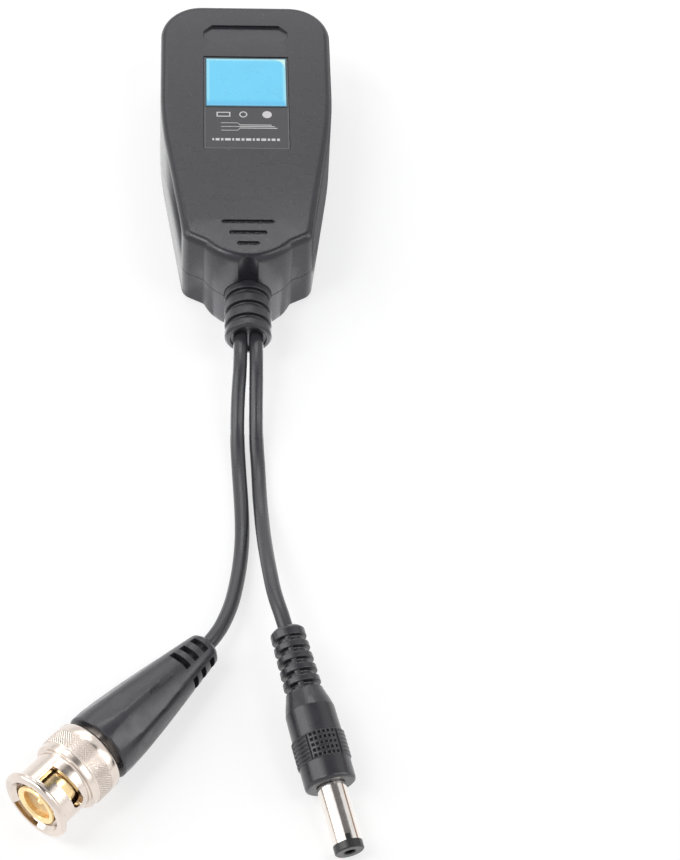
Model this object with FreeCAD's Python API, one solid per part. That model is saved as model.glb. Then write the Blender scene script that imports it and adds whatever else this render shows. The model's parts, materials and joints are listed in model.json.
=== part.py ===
import FreeCAD, Part
import math
import os
from FreeCAD import Vector

# A passive video balun for a camera line. Its moulded housing lies on its back, with the
# network socket in the far end (+Y) and two short leads out of the near end (-Y). One lead
# ends in a bayonet coaxial plug, the other in a barrel power plug. All sizes are in mm.

# Housing, seen from above
HOUSING_LENGTH = 74.3
HOUSING_WIDTH = 36.6
HOUSING_HEIGHT = 20.0
PARTING_HEIGHT = 8.3
WALL = 1.6
TOP_INSET = 0.2
FAR_CORNER_RADIUS = 9.0
TAPER_START = 25.1
TAPER_ANGLE = 8.5
TAPER_BLEND_RADIUS = 100.0
SHOULDER_RADIUS = 3.0
SHOULDER_ANGLE = 28.0
VALLEY_HALF_WIDTH = 8.9
VALLEY_SETBACK = 6.3
VALLEY_RADIUS = 1.5
LOBE_TOP_SETBACK = 2.7
TOP_EDGE_RADIUS = 1.8
BOTTOM_EDGE_RADIUS = 0.8
NOSE_SLOPE_START = 12.9
NOSE_SLOPE_ANGLE = 3.0
FLUTE_RADIUS = 4.5
FLUTE_DEPTH = 0.6
SHUT_LINE_DEPTH = 0.2
SHUT_LINE_HEIGHT = 0.12

# Marks in the upper face
RECESS_LENGTH = 5.4
RECESS_WIDTH = 18.0
RECESS_CORNER = 1.8
RECESS_DEPTH = 0.6
RECESS_FAR_MARGIN = 6.5
LABEL_POCKET_LENGTH = 26.4
LABEL_POCKET_WIDTH = 18.0
LABEL_POCKET_DEPTH = 0.4
LABEL_POCKET_FAR_MARGIN = 15.75
GRIP_GROOVE_WIDTH = 0.9
GRIP_GROOVE_DEPTH = 0.45
GRIP_GROOVE_PITCH = 2.75
GRIP_GROOVE_NEAR_MARGIN = 6.7
GRIP_GROOVE_LENGTHS = [4.6, 7.7, 10.8]
LABEL_GAP = 0.15
LABEL_THICKNESS = 0.2
FIELD_LENGTH = 14.2
FIELD_THICKNESS = 0.1

# Joint between the two covers
LIP_HEIGHT = 1.2
LIP_THICKNESS = 0.7
LIP_GAP = 0.1

# Circuit board and the posts that hold it
BOARD_THICKNESS = 1.6
BOARD_STANDOFF = 1.2
BOARD_FAR_GAP = 2.4
BOARD_LENGTH = 56.0
BOARD_WIDTH = 29.0
BOARD_NEAR_WIDTH = 21.0
BOARD_TAPER_LENGTH = 30.0
POST_RADIUS = 2.0
POST_PIN_RADIUS = 1.0
POST_PIN_HEIGHT = 3.0
POST_GAP = 0.1
POST_PLACES = [(11.6, 9.0), (-11.6, 9.0), (8.2, -15.0), (-8.2, -15.0)]

# Network socket
JACK_WIDTH = 15.8
JACK_LENGTH = 15.0
JACK_HEIGHT = 13.2
JACK_FRONT_RECESS = 0.3
JACK_WINDOW_GAP = 0.1
PORT_WIDTH = 11.9
PORT_HEIGHT = 6.9
PORT_DEPTH = 11.5
PORT_ROOF = 2.4
PORT_KEY_WIDTHS = [6.2, 3.4]
PORT_KEY_HEIGHT = 1.4
CONTACT_COUNT = 8
CONTACT_PITCH = 1.02
CONTACT_THICKNESS = 0.4
CONTACT_GAP = 0.25
CONTACT_DROP = 2.0
CONTACT_TAIL = 0.9
CONTACT_SETBACK = 1.2

# Parts on the board
CORE_RADIUS = 4.8
CORE_HOLE_RADIUS = 2.4
CORE_HEIGHT = 4.5
CORE_PLACE = (0.0, 7.0)
WIRE_THICKNESS = 0.5
WIRE_GAP = 0.05
TURN_COUNT = 12
TURN_SPREAD = 300.0
TUBE_RADIUS = 2.5
TUBE_LENGTH = 6.0
TUBE_PLACE = (6.5, -5.0)
CAPACITOR_RADIUS = 3.0
CAPACITOR_HEIGHT = 9.0
CAPACITOR_PLACE = (-6.5, -5.0)

# Strain relief and the two leads
LEAD_RADIUS = 1.45
LEAD_SPACING = 3.2
RELIEF_RADIUS = 4.8
RELIEF_GROOVE_RADIUS = 3.9
RELIEF_GROOVE_WIDTH = 1.3
RELIEF_PITCH = 3.35
RELIEF_GROOVE_COUNT = 3
RELIEF_LAST_GROOVE = 2.6
RELIEF_REACH = 9.2
RELIEF_EDGE_RADIUS = 0.5
RELIEF_FLANGE_RADIUS = 5.6
RELIEF_FLANGE_LENGTH = 1.6
RELIEF_SEAT_SETBACK = 5.2
RELIEF_GAP = 0.05
CUP_RADIUS = 3.7
CUP_DEPTH = 0.8
CORE_WIRE_RADIUS = 0.6
CORE_WIRE_RISE = 0.9
CORE_WIRE_RUN = 2.5
CORE_WIRE_REACHES = [4.5, 2.0]
CORE_WIRE_LANDING = 4.0

# Bayonet plug. Stations are measured back from the front face of the coupling nut.
BNC_FRONT = Vector(-39.41, -152.65, 8.29)
BNC_YAW = 41.1
BNC_TILT = 3.8
NUT_LENGTH = 15.4
NUT_FLANGE_RADIUS = 7.15
NUT_FLANGE_BACK = 1.4
NUT_BARREL_RADIUS = 6.05
NUT_RING_RADIUS = 7.05
NUT_RING_FRONT = 8.2
NUT_RING_BACK = 9.35
NUT_GROOVE_RADIUS = 6.85
NUT_KNURL_FRONT = 9.65
NUT_KNURL_BACK = 13.0
NUT_EDGE_ROUND = 0.25
NUT_REAR_CHAMFER = 0.8
NUT_KNURL_RADIUS = 7.1
NUT_BAND_RADIUS = 7.25
NUT_BORE_RADIUS = 4.95
NUT_MOUTH_RADIUS = 5.6
NUT_MOUTH_DEPTH = 0.8
NUT_CHAMBER_RADIUS = 5.75
NUT_SHOULDER = 8.6
SLOT_WIDTH = 2.4
SLOT_FRONT = 2.0
SLOT_CORNER = 4.7
SLOT_END = 5.4
SLOT_SPAN = 92.0
SLOT_TURN = 7.5
SLOT_SECTIONS = 9
LUG_GROOVE_RADIUS = 5.6
ENTRY_RADIUS = 5.95
ENTRY_DEPTH = 1.1
ENTRY_SPAN = 62.0
SLEEVE_RADIUS = 4.3
SLEEVE_WALL = 1.25
SLEEVE_EDGE = 0.3
SLEEVE_SETBACK = 0.4
SLEEVE_BACK = 12.0
INSULATOR_SETBACK = 1.6
PIN_RADIUS = 0.68
PIN_SETBACK = 1.2
PIN_BACK = 14.0
PIN_TIP_RADIUS = 0.4
PIN_TIP_LENGTH = 0.5
GASKET_THICKNESS = 0.95
BODY_FLANGE_LENGTH = 1.35
BODY_NECK_RADIUS = 4.75
BODY_NECK_SEAT = 3.0
BODY_TAIL_RADIUS = 3.4
BODY_TAIL_BACK = 27.0
BODY_FLOOR = 13.0
WAVE_HEIGHT = 1.4
WAVE_THICKNESS = 0.3
WAVE_COUNT = 3
WAVE_STEPS = 36
NUT_TRAVEL = 0.8
THRUST_THICKNESS = 0.5
RETAINER_THICKNESS = 0.8
RETAINER_GROOVE_DEPTH = 0.45
RETAINER_OPENING = 40.0
RING_GAP = 0.05
RETAINER_GAP = 0.02
BNC_BOOT_GAP = 1.2
BNC_BOOT_LENGTH = 30.4
BNC_BOOT_RADIUS = 6.9
BNC_BOOT_NECK_RADIUS = 4.5
BNC_BOOT_NECK = 21.8
BNC_BOOT_TAIL_RADIUS = 3.3
BNC_BOOT_TAIL_BULGE = 0.15
BNC_BOOT_TAIL_ROUND = 0.7
BNC_BOOT_RIM = 0.3
BNC_BOOT_STRAIGHT = 2.5
BNC_BOOT_FALL = [(0.3, 0.12), (0.57, 0.42), (0.8, 0.72)]
BNC_FLAT_COUNT = 8
BNC_FLAT_DEPTH = 0.035
BNC_FLAT_TURN = 10.0
BNC_FLAT_START = 3.5
BNC_SLOT_PLACES = [22.65, 25.25, 28.05]
BNC_SLOT_WIDTH = 1.35
BNC_SLOT_ROOT_RADIUS = 2.2
BNC_SLOT_COUNT = 4
BNC_WEB_ANGLE = 30.0
BNC_RIB_FRONT = 12.6
BNC_RIB_LENGTH = 6.6
BNC_RIB_WIDTH = 0.7
BNC_RIB_HEIGHT = 0.4
BNC_RIB_TURN = -14.0

# Barrel power plug. Stations are measured back from the tip.
DC_FRONT = Vector(17.05, -159.05, 2.81)
DC_YAW = -14.1
DC_TILT = -8.4
DC_BARREL_RADIUS = 2.75
DC_BARREL_WALL = 0.8
DC_ROOT_RADIUS = 2.35
DC_ROOT_REACH = 0.2
DC_BARREL_REACH = 12.9
DC_BARREL_BACK = 20.0
DC_TIP_LENGTH = 1.6
DC_TIP_EDGE = 0.2
DC_PIN_HOLE_RADIUS = 1.05
DC_CONTACT_WALL = 0.4
DC_CONTACT_SETBACK = 1.0
DC_CONTACT_BACK = 21.0
DC_KEY_WIDTH = 1.0
DC_KEY_LENGTH = 1.1
DC_BOOT_RADIUS = 4.8
DC_BOOT_SHOULDER_RADIUS = 4.65
DC_BOOT_SHOULDER = 14.8
DC_BOOT_SHOULDER_FALL = 0.35
DC_BOOT_SHOULDER_RUN = 1.4
DC_BOOT_STRAIGHT = 6.5
DC_BOOT_LENGTH = 18.5
DC_BOOT_EDGE_RADIUS = 0.5
DC_RELIEF_FRONT_RADIUS = 3.6
DC_RELIEF_BACK_RADIUS = 3.3
DC_RELIEF_LENGTH = 13.2
DC_GROOVE_COUNT = 5
DC_GROOVE_WIDTH = 1.15
DC_GROOVE_PITCH = 2.38
DC_GROOVE_ROOT_RADIUS = 2.35
DC_GROOVE_FIRST = 0.9
DC_WEB_COUNT = 2
DC_WEB_ANGLE = 18.0
DC_WEB_TURN = 14.0
DC_WEB_DROP = 0.35
DC_COLLAR_ROUND = 0.6
MOUTH_DEPTH = 5.0
MOUTH_GAP = 0.25
MOUTH_APPROACH = 2.2

# Routes of the two leads, from the strain relief to the plugs
BNC_ROUTE = [
    Vector(-1.6, -52.15, 8.3),
    Vector(-2.2, -59.65, 5.9),
    Vector(-2.35, -67.15, 2.7),
    Vector(-2.0, -74.65, 1.5),
    Vector(-1.62, -82.15, 1.55),
    Vector(-1.47, -89.15, 1.5),
    Vector(-1.92, -95.65, 1.7),
    Vector(-2.8, -101.85, 2.4),
    Vector(-4.16, -108.25, 3.5),
]
DC_ROUTE = [
    Vector(1.6, -52.15, 8.3),
    Vector(1.45, -59.65, 5.9),
    Vector(1.4, -67.15, 2.7),
    Vector(1.8, -73.65, 1.5),
    Vector(1.94, -79.65, 1.6),
    Vector(2.21, -85.65, 2.7),
    Vector(2.5, -91.65, 4.6),
    Vector(2.95, -97.65, 6.7),
    Vector(3.5, -103.05, 8.3),
    Vector(4.2, -108.4, 9.3),
]

ORIGIN = Vector(0, 0, 0)
UP = Vector(0, 0, 1)
NEAR_END = -HOUSING_LENGTH / 2
FAR_END = HOUSING_LENGTH / 2
FLOOR = WALL
ROOF = HOUSING_HEIGHT - WALL
BOARD_BOTTOM = FLOOR + BOARD_STANDOFF
BOARD_TOP = BOARD_BOTTOM + BOARD_THICKNESS
BOARD_FAR = FAR_END - WALL - BOARD_FAR_GAP
RELIEF_SEAT = NEAR_END + RELIEF_SEAT_SETBACK
RELIEF_END = NEAR_END - RELIEF_REACH
RELIEF_AXIS = PARTING_HEIGHT
JACK_FRONT = FAR_END - JACK_FRONT_RECESS
JACK_BACK = JACK_FRONT - JACK_LENGTH
JACK_TOP = BOARD_TOP + JACK_HEIGHT
PORT_TOP = JACK_TOP - PORT_ROOF
PORT_BOTTOM = PORT_TOP - PORT_HEIGHT
CONTACT_Y = JACK_BACK + CONTACT_SETBACK
BNC_LENGTH = NUT_LENGTH + BNC_BOOT_GAP + BNC_BOOT_LENGTH
DC_LENGTH = DC_BARREL_REACH + DC_BOOT_LENGTH + DC_RELIEF_LENGTH
BEYOND = 5.0
TOUCH = 0.01


def export(name, shape):
    shape.exportStep("parts/" + name + ".step")
    print(name, "solids", len(shape.Solids), "valid", shape.isValid(), "volume", round(shape.Volume, 2))


def box(x_range, y_range, z_range):
    """A box from its lowest and highest coordinate on each axis."""
    size = [high - low for low, high in (x_range, y_range, z_range)]
    return Part.makeBox(*size, Vector(x_range[0], y_range[0], z_range[0]))


def across(width):
    """A range of the given width, centred on zero."""
    return (-width / 2, width / 2)


def arc(first, middle, last):
    return Part.Arc(first, middle, last).toShape()


def turned(points):
    """A solid turned about Z from points (radius, station), where a station runs back along -Z."""
    corners = [Vector(radius, 0, -station) for radius, station in points]
    face = Part.Face(Part.makePolygon(corners + corners[:1]))
    return face.revolve(ORIGIN, UP, 360)


def ring(outer, inner, front, back):
    return turned([(inner, front), (outer, front), (outer, back), (inner, back)])


def sector(outer, inner, front, back, start, span):
    """Part of a ring, from a start angle over a span, in degrees."""
    corners = [
        Vector(inner, 0, -front),
        Vector(outer, 0, -front),
        Vector(outer, 0, -back),
        Vector(inner, 0, -back),
    ]
    face = Part.Face(Part.makePolygon(corners + corners[:1]))
    face.rotate(ORIGIN, UP, start)
    return face.revolve(ORIGIN, UP, span)


def fuse(shapes):
    joined = shapes[0].fuse(shapes[1:])
    return joined.removeSplitter()


def axis_of(yaw, tilt):
    """The way a plug points. Yaw turns it from -Y towards -X, and tilt lifts its nose."""
    yaw = math.radians(yaw)
    tilt = math.radians(tilt)
    return Vector(-math.sin(yaw) * math.cos(tilt), -math.cos(yaw) * math.cos(tilt), math.sin(tilt))


def plug_placement(front, yaw, tilt):
    """Takes local +Z to the way the plug points and local +X to the plug's upper side."""
    forward = axis_of(yaw, tilt)
    side = forward.cross(UP).normalize()
    upper = side.cross(forward)
    turn = FreeCAD.Rotation(upper, forward.cross(upper), forward, "ZXY")
    return FreeCAD.Placement(front, turn)


BNC_PLACE = plug_placement(BNC_FRONT, BNC_YAW, BNC_TILT)
DC_PLACE = plug_placement(DC_FRONT, DC_YAW, DC_TILT)


def placed(shape, placement):
    moved = shape.copy()
    moved.Placement = placement.multiply(moved.Placement)
    return moved


# Housing


def polar(length, degrees):
    angle = math.radians(degrees)
    return Vector(length * math.cos(angle), length * math.sin(angle), 0)


def blend(before, corner, after, radius):
    """The start, middle and end of an arc that rounds a corner."""
    one = (before - corner).normalize()
    two = (after - corner).normalize()
    half = one.getAngle(two) / 2
    reach = radius / math.tan(half)
    bisector = (one + two).normalize()
    centre = corner + bisector * (radius / math.sin(half))
    return corner + one * reach, centre - bisector * radius, corner + two * reach


def plan_wire(inset, lobe_setback, height):
    """The housing's outline seen from above, drawn in by an inset all round."""
    half_width = HOUSING_WIDTH / 2 - inset
    far = FAR_END - inset
    taper = math.tan(math.radians(TAPER_ANGLE))
    blend_reach = TAPER_BLEND_RADIUS * math.tan(math.radians(TAPER_ANGLE / 2))
    taper_corner = Vector(half_width, FAR_END - TAPER_START - blend_reach, 0)
    valley = Vector(VALLEY_HALF_WIDTH, NEAR_END + VALLEY_SETBACK + inset, 0)
    out_along = polar(1, SHOULDER_ANGLE)
    slope = math.tan(math.radians(SHOULDER_ANGLE))
    reach = (half_width + taper * (valley.y - taper_corner.y) - valley.x) / (1 - taper * slope)
    shoulder = valley + Vector(reach, reach * slope, 0)
    far_corner = Vector(half_width, far, 0)
    far_start, far_middle, far_end = blend(
        Vector(0, far, 0), far_corner, taper_corner, FAR_CORNER_RADIUS - inset
    )
    side_start, side_middle, side_end = blend(
        far_corner, taper_corner, shoulder, TAPER_BLEND_RADIUS
    )
    round_start, round_middle, round_end = blend(
        taper_corner, shoulder, valley, SHOULDER_RADIUS - inset * 0.5
    )
    tip = Vector(0, NEAR_END + lobe_setback + inset, 0)
    depth = valley.y - tip.y
    lobe_radius = (valley.x**2 + depth**2) / (2 * depth)
    lobe_centre = tip + Vector(0, lobe_radius, 0)
    start = valley + polar(VALLEY_RADIUS, SHOULDER_ANGLE - 90)
    from_lobe = start - lobe_centre
    along = from_lobe.dot(out_along)
    span = (lobe_radius + VALLEY_RADIUS) ** 2 - from_lobe.dot(from_lobe)
    shift = -along + math.sqrt(along**2 + span)
    centre = start + out_along * shift
    valley_start = valley + out_along * shift
    valley_end = lobe_centre + (centre - lobe_centre) * (lobe_radius / (lobe_radius + VALLEY_RADIUS))
    towards = ((valley_start - centre) + (valley_end - centre)).normalize()
    valley_middle = centre + towards * VALLEY_RADIUS
    half = [
        (far_start, far_middle, far_end),
        (far_end, side_start),
        (side_start, side_middle, side_end),
        (side_end, round_start),
        (round_start, round_middle, round_end),
        (round_end, valley_start),
        (valley_start, valley_middle, valley_end),
    ]
    mirrored = [[Vector(-p.x, p.y, 0) for p in reversed(run)] for run in reversed(half)]
    far_edge = [(mirrored[-1][-1], far_start)]
    lobe = [(valley_end, tip, Vector(-valley_end.x, valley_end.y, 0))]
    edges = []
    for run in far_edge + half + lobe + mirrored:
        points = [Vector(p.x, p.y, height) for p in run]
        edges.append(arc(*points) if len(points) == 3 else Part.LineSegment(*points).toShape())
    return Part.Wire(edges)


def plan_solid(inset, low, high):
    """The housing's form between two heights, with its draft, drawn in by an inset."""
    bottom = plan_wire(inset, 0, 0)
    top = plan_wire(inset + TOP_INSET, LOBE_TOP_SETBACK, HOUSING_HEIGHT)
    full = Part.makeLoft([bottom, top], True, True)
    return full.common(box(across(2 * HOUSING_WIDTH), across(2 * HOUSING_LENGTH), (low, high)))


def nose_cut():
    """What the gentle slope takes off the upper face at the near end."""
    start = NEAR_END + NOSE_SLOPE_START
    block = box(across(2 * HOUSING_WIDTH), (-HOUSING_LENGTH, 0), (0, BEYOND))
    block.rotate(ORIGIN, Vector(1, 0, 0), NOSE_SLOPE_ANGLE)
    block.translate(Vector(0, start, HOUSING_HEIGHT))
    return block


def rim_edges(shape):
    """The outline edges of the upper face and its slope, without the crease between the two."""
    crease = NEAR_END + NOSE_SLOPE_START
    picked = []
    for edge in shape.Edges:
        bounds = edge.BoundBox
        high = bounds.ZMin > HOUSING_HEIGHT - TOP_EDGE_RADIUS and bounds.ZLength < TOP_EDGE_RADIUS / 2
        on_crease = bounds.YLength < TOUCH and abs(bounds.YMin - crease) < TOUCH
        if high and not on_crease:
            picked.append(edge)
    return picked


def foot_edges(shape):
    return [edge for edge in shape.Edges if edge.BoundBox.ZMax < TOUCH]


def housing_block():
    block = plan_solid(0, 0, HOUSING_HEIGHT).cut(nose_cut())
    block = block.makeFillet(TOP_EDGE_RADIUS, rim_edges(block))
    block = block.makeFillet(BOTTOM_EDGE_RADIUS, foot_edges(block))
    return block.cut(flute())


def flute():
    """The shallow hollow above the strain relief."""
    lean = math.atan((LOBE_TOP_SETBACK + TOP_INSET) / HOUSING_HEIGHT)
    shape = Part.makeCylinder(FLUTE_RADIUS, HOUSING_HEIGHT, Vector(0, 0, 0), UP)
    shape.rotate(ORIGIN, Vector(1, 0, 0), -math.degrees(lean))
    shape.translate(Vector(0, NEAR_END - FLUTE_RADIUS + FLUTE_DEPTH + math.tan(lean) * RELIEF_AXIS, RELIEF_AXIS))
    return shape


def octagon(width, length, corner, centre_y, height):
    x = width / 2
    y = length / 2
    points = [
        (x, y - corner), (x - corner, y), (corner - x, y), (-x, y - corner),
        (-x, corner - y), (corner - x, -y), (x - corner, -y), (x, corner - y),
    ]
    corners = [Vector(px, py + centre_y, height) for px, py in points]
    return Part.Face(Part.makePolygon(corners + corners[:1]))


def thumb_recess():
    """A recess that is deepest at its far edge and runs out at its near edge."""
    centre = FAR_END - RECESS_FAR_MARGIN - RECESS_LENGTH / 2
    face = octagon(RECESS_WIDTH, RECESS_LENGTH, RECESS_CORNER, centre, HOUSING_HEIGHT - RECESS_DEPTH)
    prism = face.extrude(Vector(0, 0, BEYOND))
    ramp = box(across(HOUSING_WIDTH), (0, HOUSING_WIDTH), (0, BEYOND))
    ramp.rotate(ORIGIN, Vector(1, 0, 0), -math.degrees(math.atan(RECESS_DEPTH / RECESS_LENGTH)))
    ramp.translate(Vector(0, centre - RECESS_LENGTH / 2, HOUSING_HEIGHT))
    return prism.common(ramp)


def label_range():
    far = FAR_END - LABEL_POCKET_FAR_MARGIN
    return (far - LABEL_POCKET_LENGTH, far)


def grip_groove(length, y):
    """A round ended groove across the face."""
    reach = length / 2 - GRIP_GROOVE_WIDTH / 2
    low = HOUSING_HEIGHT - GRIP_GROOVE_DEPTH - math.tan(math.radians(NOSE_SLOPE_ANGLE)) * (
        NEAR_END + NOSE_SLOPE_START - y
    )
    bar = box(across(2 * reach), (y - GRIP_GROOVE_WIDTH / 2, y + GRIP_GROOVE_WIDTH / 2), (low, low + BEYOND))
    ends = [
        Part.makeCylinder(GRIP_GROOVE_WIDTH / 2, BEYOND, Vector(x, y, low)) for x in (-reach, reach)
    ]
    return fuse([bar] + ends)


def jack_window():
    return box(
        across(JACK_WIDTH + 2 * JACK_WINDOW_GAP),
        (JACK_BACK, FAR_END + BEYOND),
        (BOARD_TOP - JACK_WINDOW_GAP, JACK_TOP + JACK_WINDOW_GAP),
    )


def relief_bore():
    length = RELIEF_SEAT - NEAR_END + BEYOND
    return Part.makeCylinder(
        RELIEF_RADIUS + RELIEF_GAP, length, Vector(0, NEAR_END - BEYOND, RELIEF_AXIS), Vector(0, 1, 0)
    )


def cavity():
    hollow = plan_solid(WALL, FLOOR, ROOF)
    return hollow.common(box(across(HOUSING_WIDTH), (RELIEF_SEAT, FAR_END), (0, HOUSING_HEIGHT)))


def posts(radius, low, high):
    return [
        Part.makeCylinder(radius, high - low, Vector(x, y, low)) for x, y in POST_PLACES
    ]


def lip(inner_inset, outer_inset, low, high):
    """The tongue of the lower cover, or the groove for it, inside the upper cover's wall."""
    outer = plan_solid(outer_inset, low, high)
    inner = plan_solid(inner_inset, low, high)
    band = outer.cut(inner)
    return band.common(box(across(HOUSING_WIDTH), (RELIEF_SEAT, FAR_END), (low, high)))


def shut_line():
    """The hairline groove round the lower cover's top edge."""
    heights = (PARTING_HEIGHT - SHUT_LINE_HEIGHT, PARTING_HEIGHT)
    around = box(across(2 * HOUSING_WIDTH), across(2 * HOUSING_LENGTH), heights)
    return around.cut(plan_solid(SHUT_LINE_DEPTH, *heights))


def build_covers():
    block = housing_block()
    hollow = cavity()
    openings = [hollow, jack_window(), relief_bore()]
    above = box(across(2 * HOUSING_WIDTH), across(2 * HOUSING_LENGTH), (PARTING_HEIGHT, 2 * HOUSING_HEIGHT))
    lip_top = PARTING_HEIGHT + LIP_HEIGHT
    outer_inset = WALL - LIP_THICKNESS
    front = block.common(above).cut(openings)
    front = front.cut(lip(WALL, outer_inset - LIP_GAP, PARTING_HEIGHT, lip_top + LIP_GAP))
    pressers = posts(POST_RADIUS, BOARD_TOP + POST_GAP, ROOF + POST_GAP)
    front = fuse([front] + pressers)
    pins = posts(POST_PIN_RADIUS + POST_GAP, BOARD_TOP, BOARD_TOP + POST_PIN_HEIGHT + POST_GAP)
    low, high = label_range()
    label_pocket = box(
        across(LABEL_POCKET_WIDTH), (low, high), (HOUSING_HEIGHT - LABEL_POCKET_DEPTH, HOUSING_HEIGHT + BEYOND)
    )
    grooves = [
        grip_groove(length, NEAR_END + GRIP_GROOVE_NEAR_MARGIN + index * GRIP_GROOVE_PITCH)
        for index, length in enumerate(GRIP_GROOVE_LENGTHS)
    ]
    front = front.cut(pins + [label_pocket, thumb_recess()] + grooves)
    export("front_cover", front)
    rear = block.cut([above, shut_line()] + openings)
    tongue = lip(WALL, outer_inset, PARTING_HEIGHT - LIP_HEIGHT, lip_top)
    tongue = tongue.cut([jack_window(), relief_bore()])
    standoffs = posts(POST_RADIUS, FLOOR, BOARD_BOTTOM)
    rods = posts(POST_PIN_RADIUS, FLOOR, BOARD_TOP + POST_PIN_HEIGHT)
    rear = fuse([rear, tongue] + standoffs + rods)
    export("rear_cover", rear)


def build_label():
    low, high = label_range()
    bottom = HOUSING_HEIGHT - LABEL_POCKET_DEPTH
    plate = box(
        across(LABEL_POCKET_WIDTH - 2 * LABEL_GAP),
        (low + LABEL_GAP, high - LABEL_GAP),
        (bottom, bottom + LABEL_THICKNESS),
    )
    export("label_plate", plate)
    top = bottom + LABEL_THICKNESS
    field = box(
        across(LABEL_POCKET_WIDTH - 4 * LABEL_GAP),
        (high - 2 * LABEL_GAP - FIELD_LENGTH, high - 2 * LABEL_GAP),
        (top, top + FIELD_THICKNESS),
    )
    export("label_colour_field", field)


# Inside the housing


def contact_x(index):
    return (index - (CONTACT_COUNT - 1) / 2) * CONTACT_PITCH


def build_board():
    half = BOARD_WIDTH / 2
    near_half = BOARD_NEAR_WIDTH / 2
    near = BOARD_FAR - BOARD_LENGTH
    knee = near + BOARD_TAPER_LENGTH
    points = [
        (half, BOARD_FAR), (-half, BOARD_FAR), (-half, knee),
        (-near_half, near), (near_half, near), (half, knee),
    ]
    corners = [Vector(x, y, BOARD_BOTTOM) for x, y in points]
    board = Part.Face(Part.makePolygon(corners + corners[:1])).extrude(Vector(0, 0, BOARD_THICKNESS))
    holes = posts(POST_PIN_RADIUS + POST_GAP, BOARD_BOTTOM, BOARD_TOP)
    hole = CONTACT_THICKNESS / 2
    for index in range(CONTACT_COUNT):
        x = contact_x(index)
        holes.append(box((x - hole, x + hole), (CONTACT_Y - hole, CONTACT_Y + hole), (BOARD_BOTTOM, BOARD_TOP)))
    export("circuit_board", board.cut(holes))


def build_jack():
    body = box(across(JACK_WIDTH), (JACK_BACK, JACK_FRONT), (BOARD_TOP, JACK_TOP))
    port = box(across(PORT_WIDTH), (JACK_FRONT - PORT_DEPTH, JACK_FRONT), (PORT_BOTTOM, PORT_TOP))
    keys = []
    for index, width in enumerate(PORT_KEY_WIDTHS):
        top = PORT_BOTTOM - index * PORT_KEY_HEIGHT
        keys.append(box(across(width), (JACK_FRONT - PORT_DEPTH, JACK_FRONT), (top - PORT_KEY_HEIGHT, top)))
    half = CONTACT_COUNT * CONTACT_PITCH / 2 + CONTACT_GAP
    thick = CONTACT_THICKNESS / 2 + CONTACT_GAP
    run = PORT_TOP + thick
    shaft = box((-half, half), (CONTACT_Y - thick, CONTACT_Y + thick), (BOARD_TOP, run + thick))
    tunnel = box((-half, half), (CONTACT_Y - thick, JACK_FRONT - CONTACT_SETBACK + thick), (PORT_TOP - thick, run + thick))
    export("rj45_jack", body.cut([port, shaft, tunnel] + keys))


def contact_strip(points, x):
    """One bent contact: square wire along straight runs, mitred at each bend."""
    half = CONTACT_THICKNESS / 2
    left = []
    right = []
    for index, (y, z) in enumerate(points):
        before = points[index - 1] if index else None
        after = points[index + 1] if index + 1 < len(points) else None
        directions = []
        if before:
            directions.append(Vector(y - before[0], z - before[1], 0).normalize())
        if after:
            directions.append(Vector(after[0] - y, after[1] - z, 0).normalize())
        mean = sum(directions[1:], directions[0]).normalize()
        normal = Vector(-mean.y, mean.x, 0)
        stretch = half / math.cos(mean.getAngle(directions[0]))
        left.append(Vector(x - half, y + normal.x * stretch, z + normal.y * stretch))
        right.append(Vector(x - half, y - normal.x * stretch, z - normal.y * stretch))
    outline = left + right[::-1]
    return Part.Face(Part.makePolygon(outline + outline[:1])).extrude(Vector(CONTACT_THICKNESS, 0, 0))


def build_contacts():
    """Spring contacts: up behind the port, over its roof and back down into it."""
    run = PORT_TOP + CONTACT_THICKNESS / 2 + CONTACT_GAP
    front = JACK_FRONT - CONTACT_SETBACK
    points = [
        (CONTACT_Y, BOARD_BOTTOM - CONTACT_TAIL),
        (CONTACT_Y, run),
        (front - CONTACT_THICKNESS, run),
        (front - 2 * CONTACT_THICKNESS, PORT_TOP - CONTACT_THICKNESS),
        (JACK_FRONT - PORT_DEPTH + CONTACT_SETBACK, PORT_TOP - CONTACT_DROP),
    ]
    for index in range(CONTACT_COUNT):
        export("rj45_contact_" + str(index + 1), contact_strip(points, contact_x(index)))


def build_balun():
    """A ferrite ring that stands on its winding, just above the board."""
    bottom = BOARD_TOP + WIRE_THICKNESS + WIRE_GAP
    centre = Vector(CORE_PLACE[0], CORE_PLACE[1], bottom)
    core = Part.makeCylinder(CORE_RADIUS, CORE_HEIGHT, centre)
    core = core.cut(Part.makeCylinder(CORE_HOLE_RADIUS, CORE_HEIGHT, centre))
    export("balun_core", core)
    turns = []
    for index in range(TURN_COUNT):
        angle = index * TURN_SPREAD / (TURN_COUNT - 1)
        inner = box(
            (CORE_HOLE_RADIUS - WIRE_GAP, CORE_RADIUS + WIRE_GAP),
            across(WIRE_THICKNESS),
            (-WIRE_GAP, CORE_HEIGHT + WIRE_GAP),
        )
        outer = box(
            (CORE_HOLE_RADIUS - WIRE_GAP - WIRE_THICKNESS, CORE_RADIUS + WIRE_GAP + WIRE_THICKNESS),
            across(WIRE_THICKNESS),
            (-WIRE_GAP - WIRE_THICKNESS, CORE_HEIGHT + WIRE_GAP + WIRE_THICKNESS),
        )
        turn = outer.cut(inner)
        turn.rotate(ORIGIN, UP, angle)
        turn.translate(centre)
        turns.append(turn)
    export("balun_winding", Part.makeCompound(turns))


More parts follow.
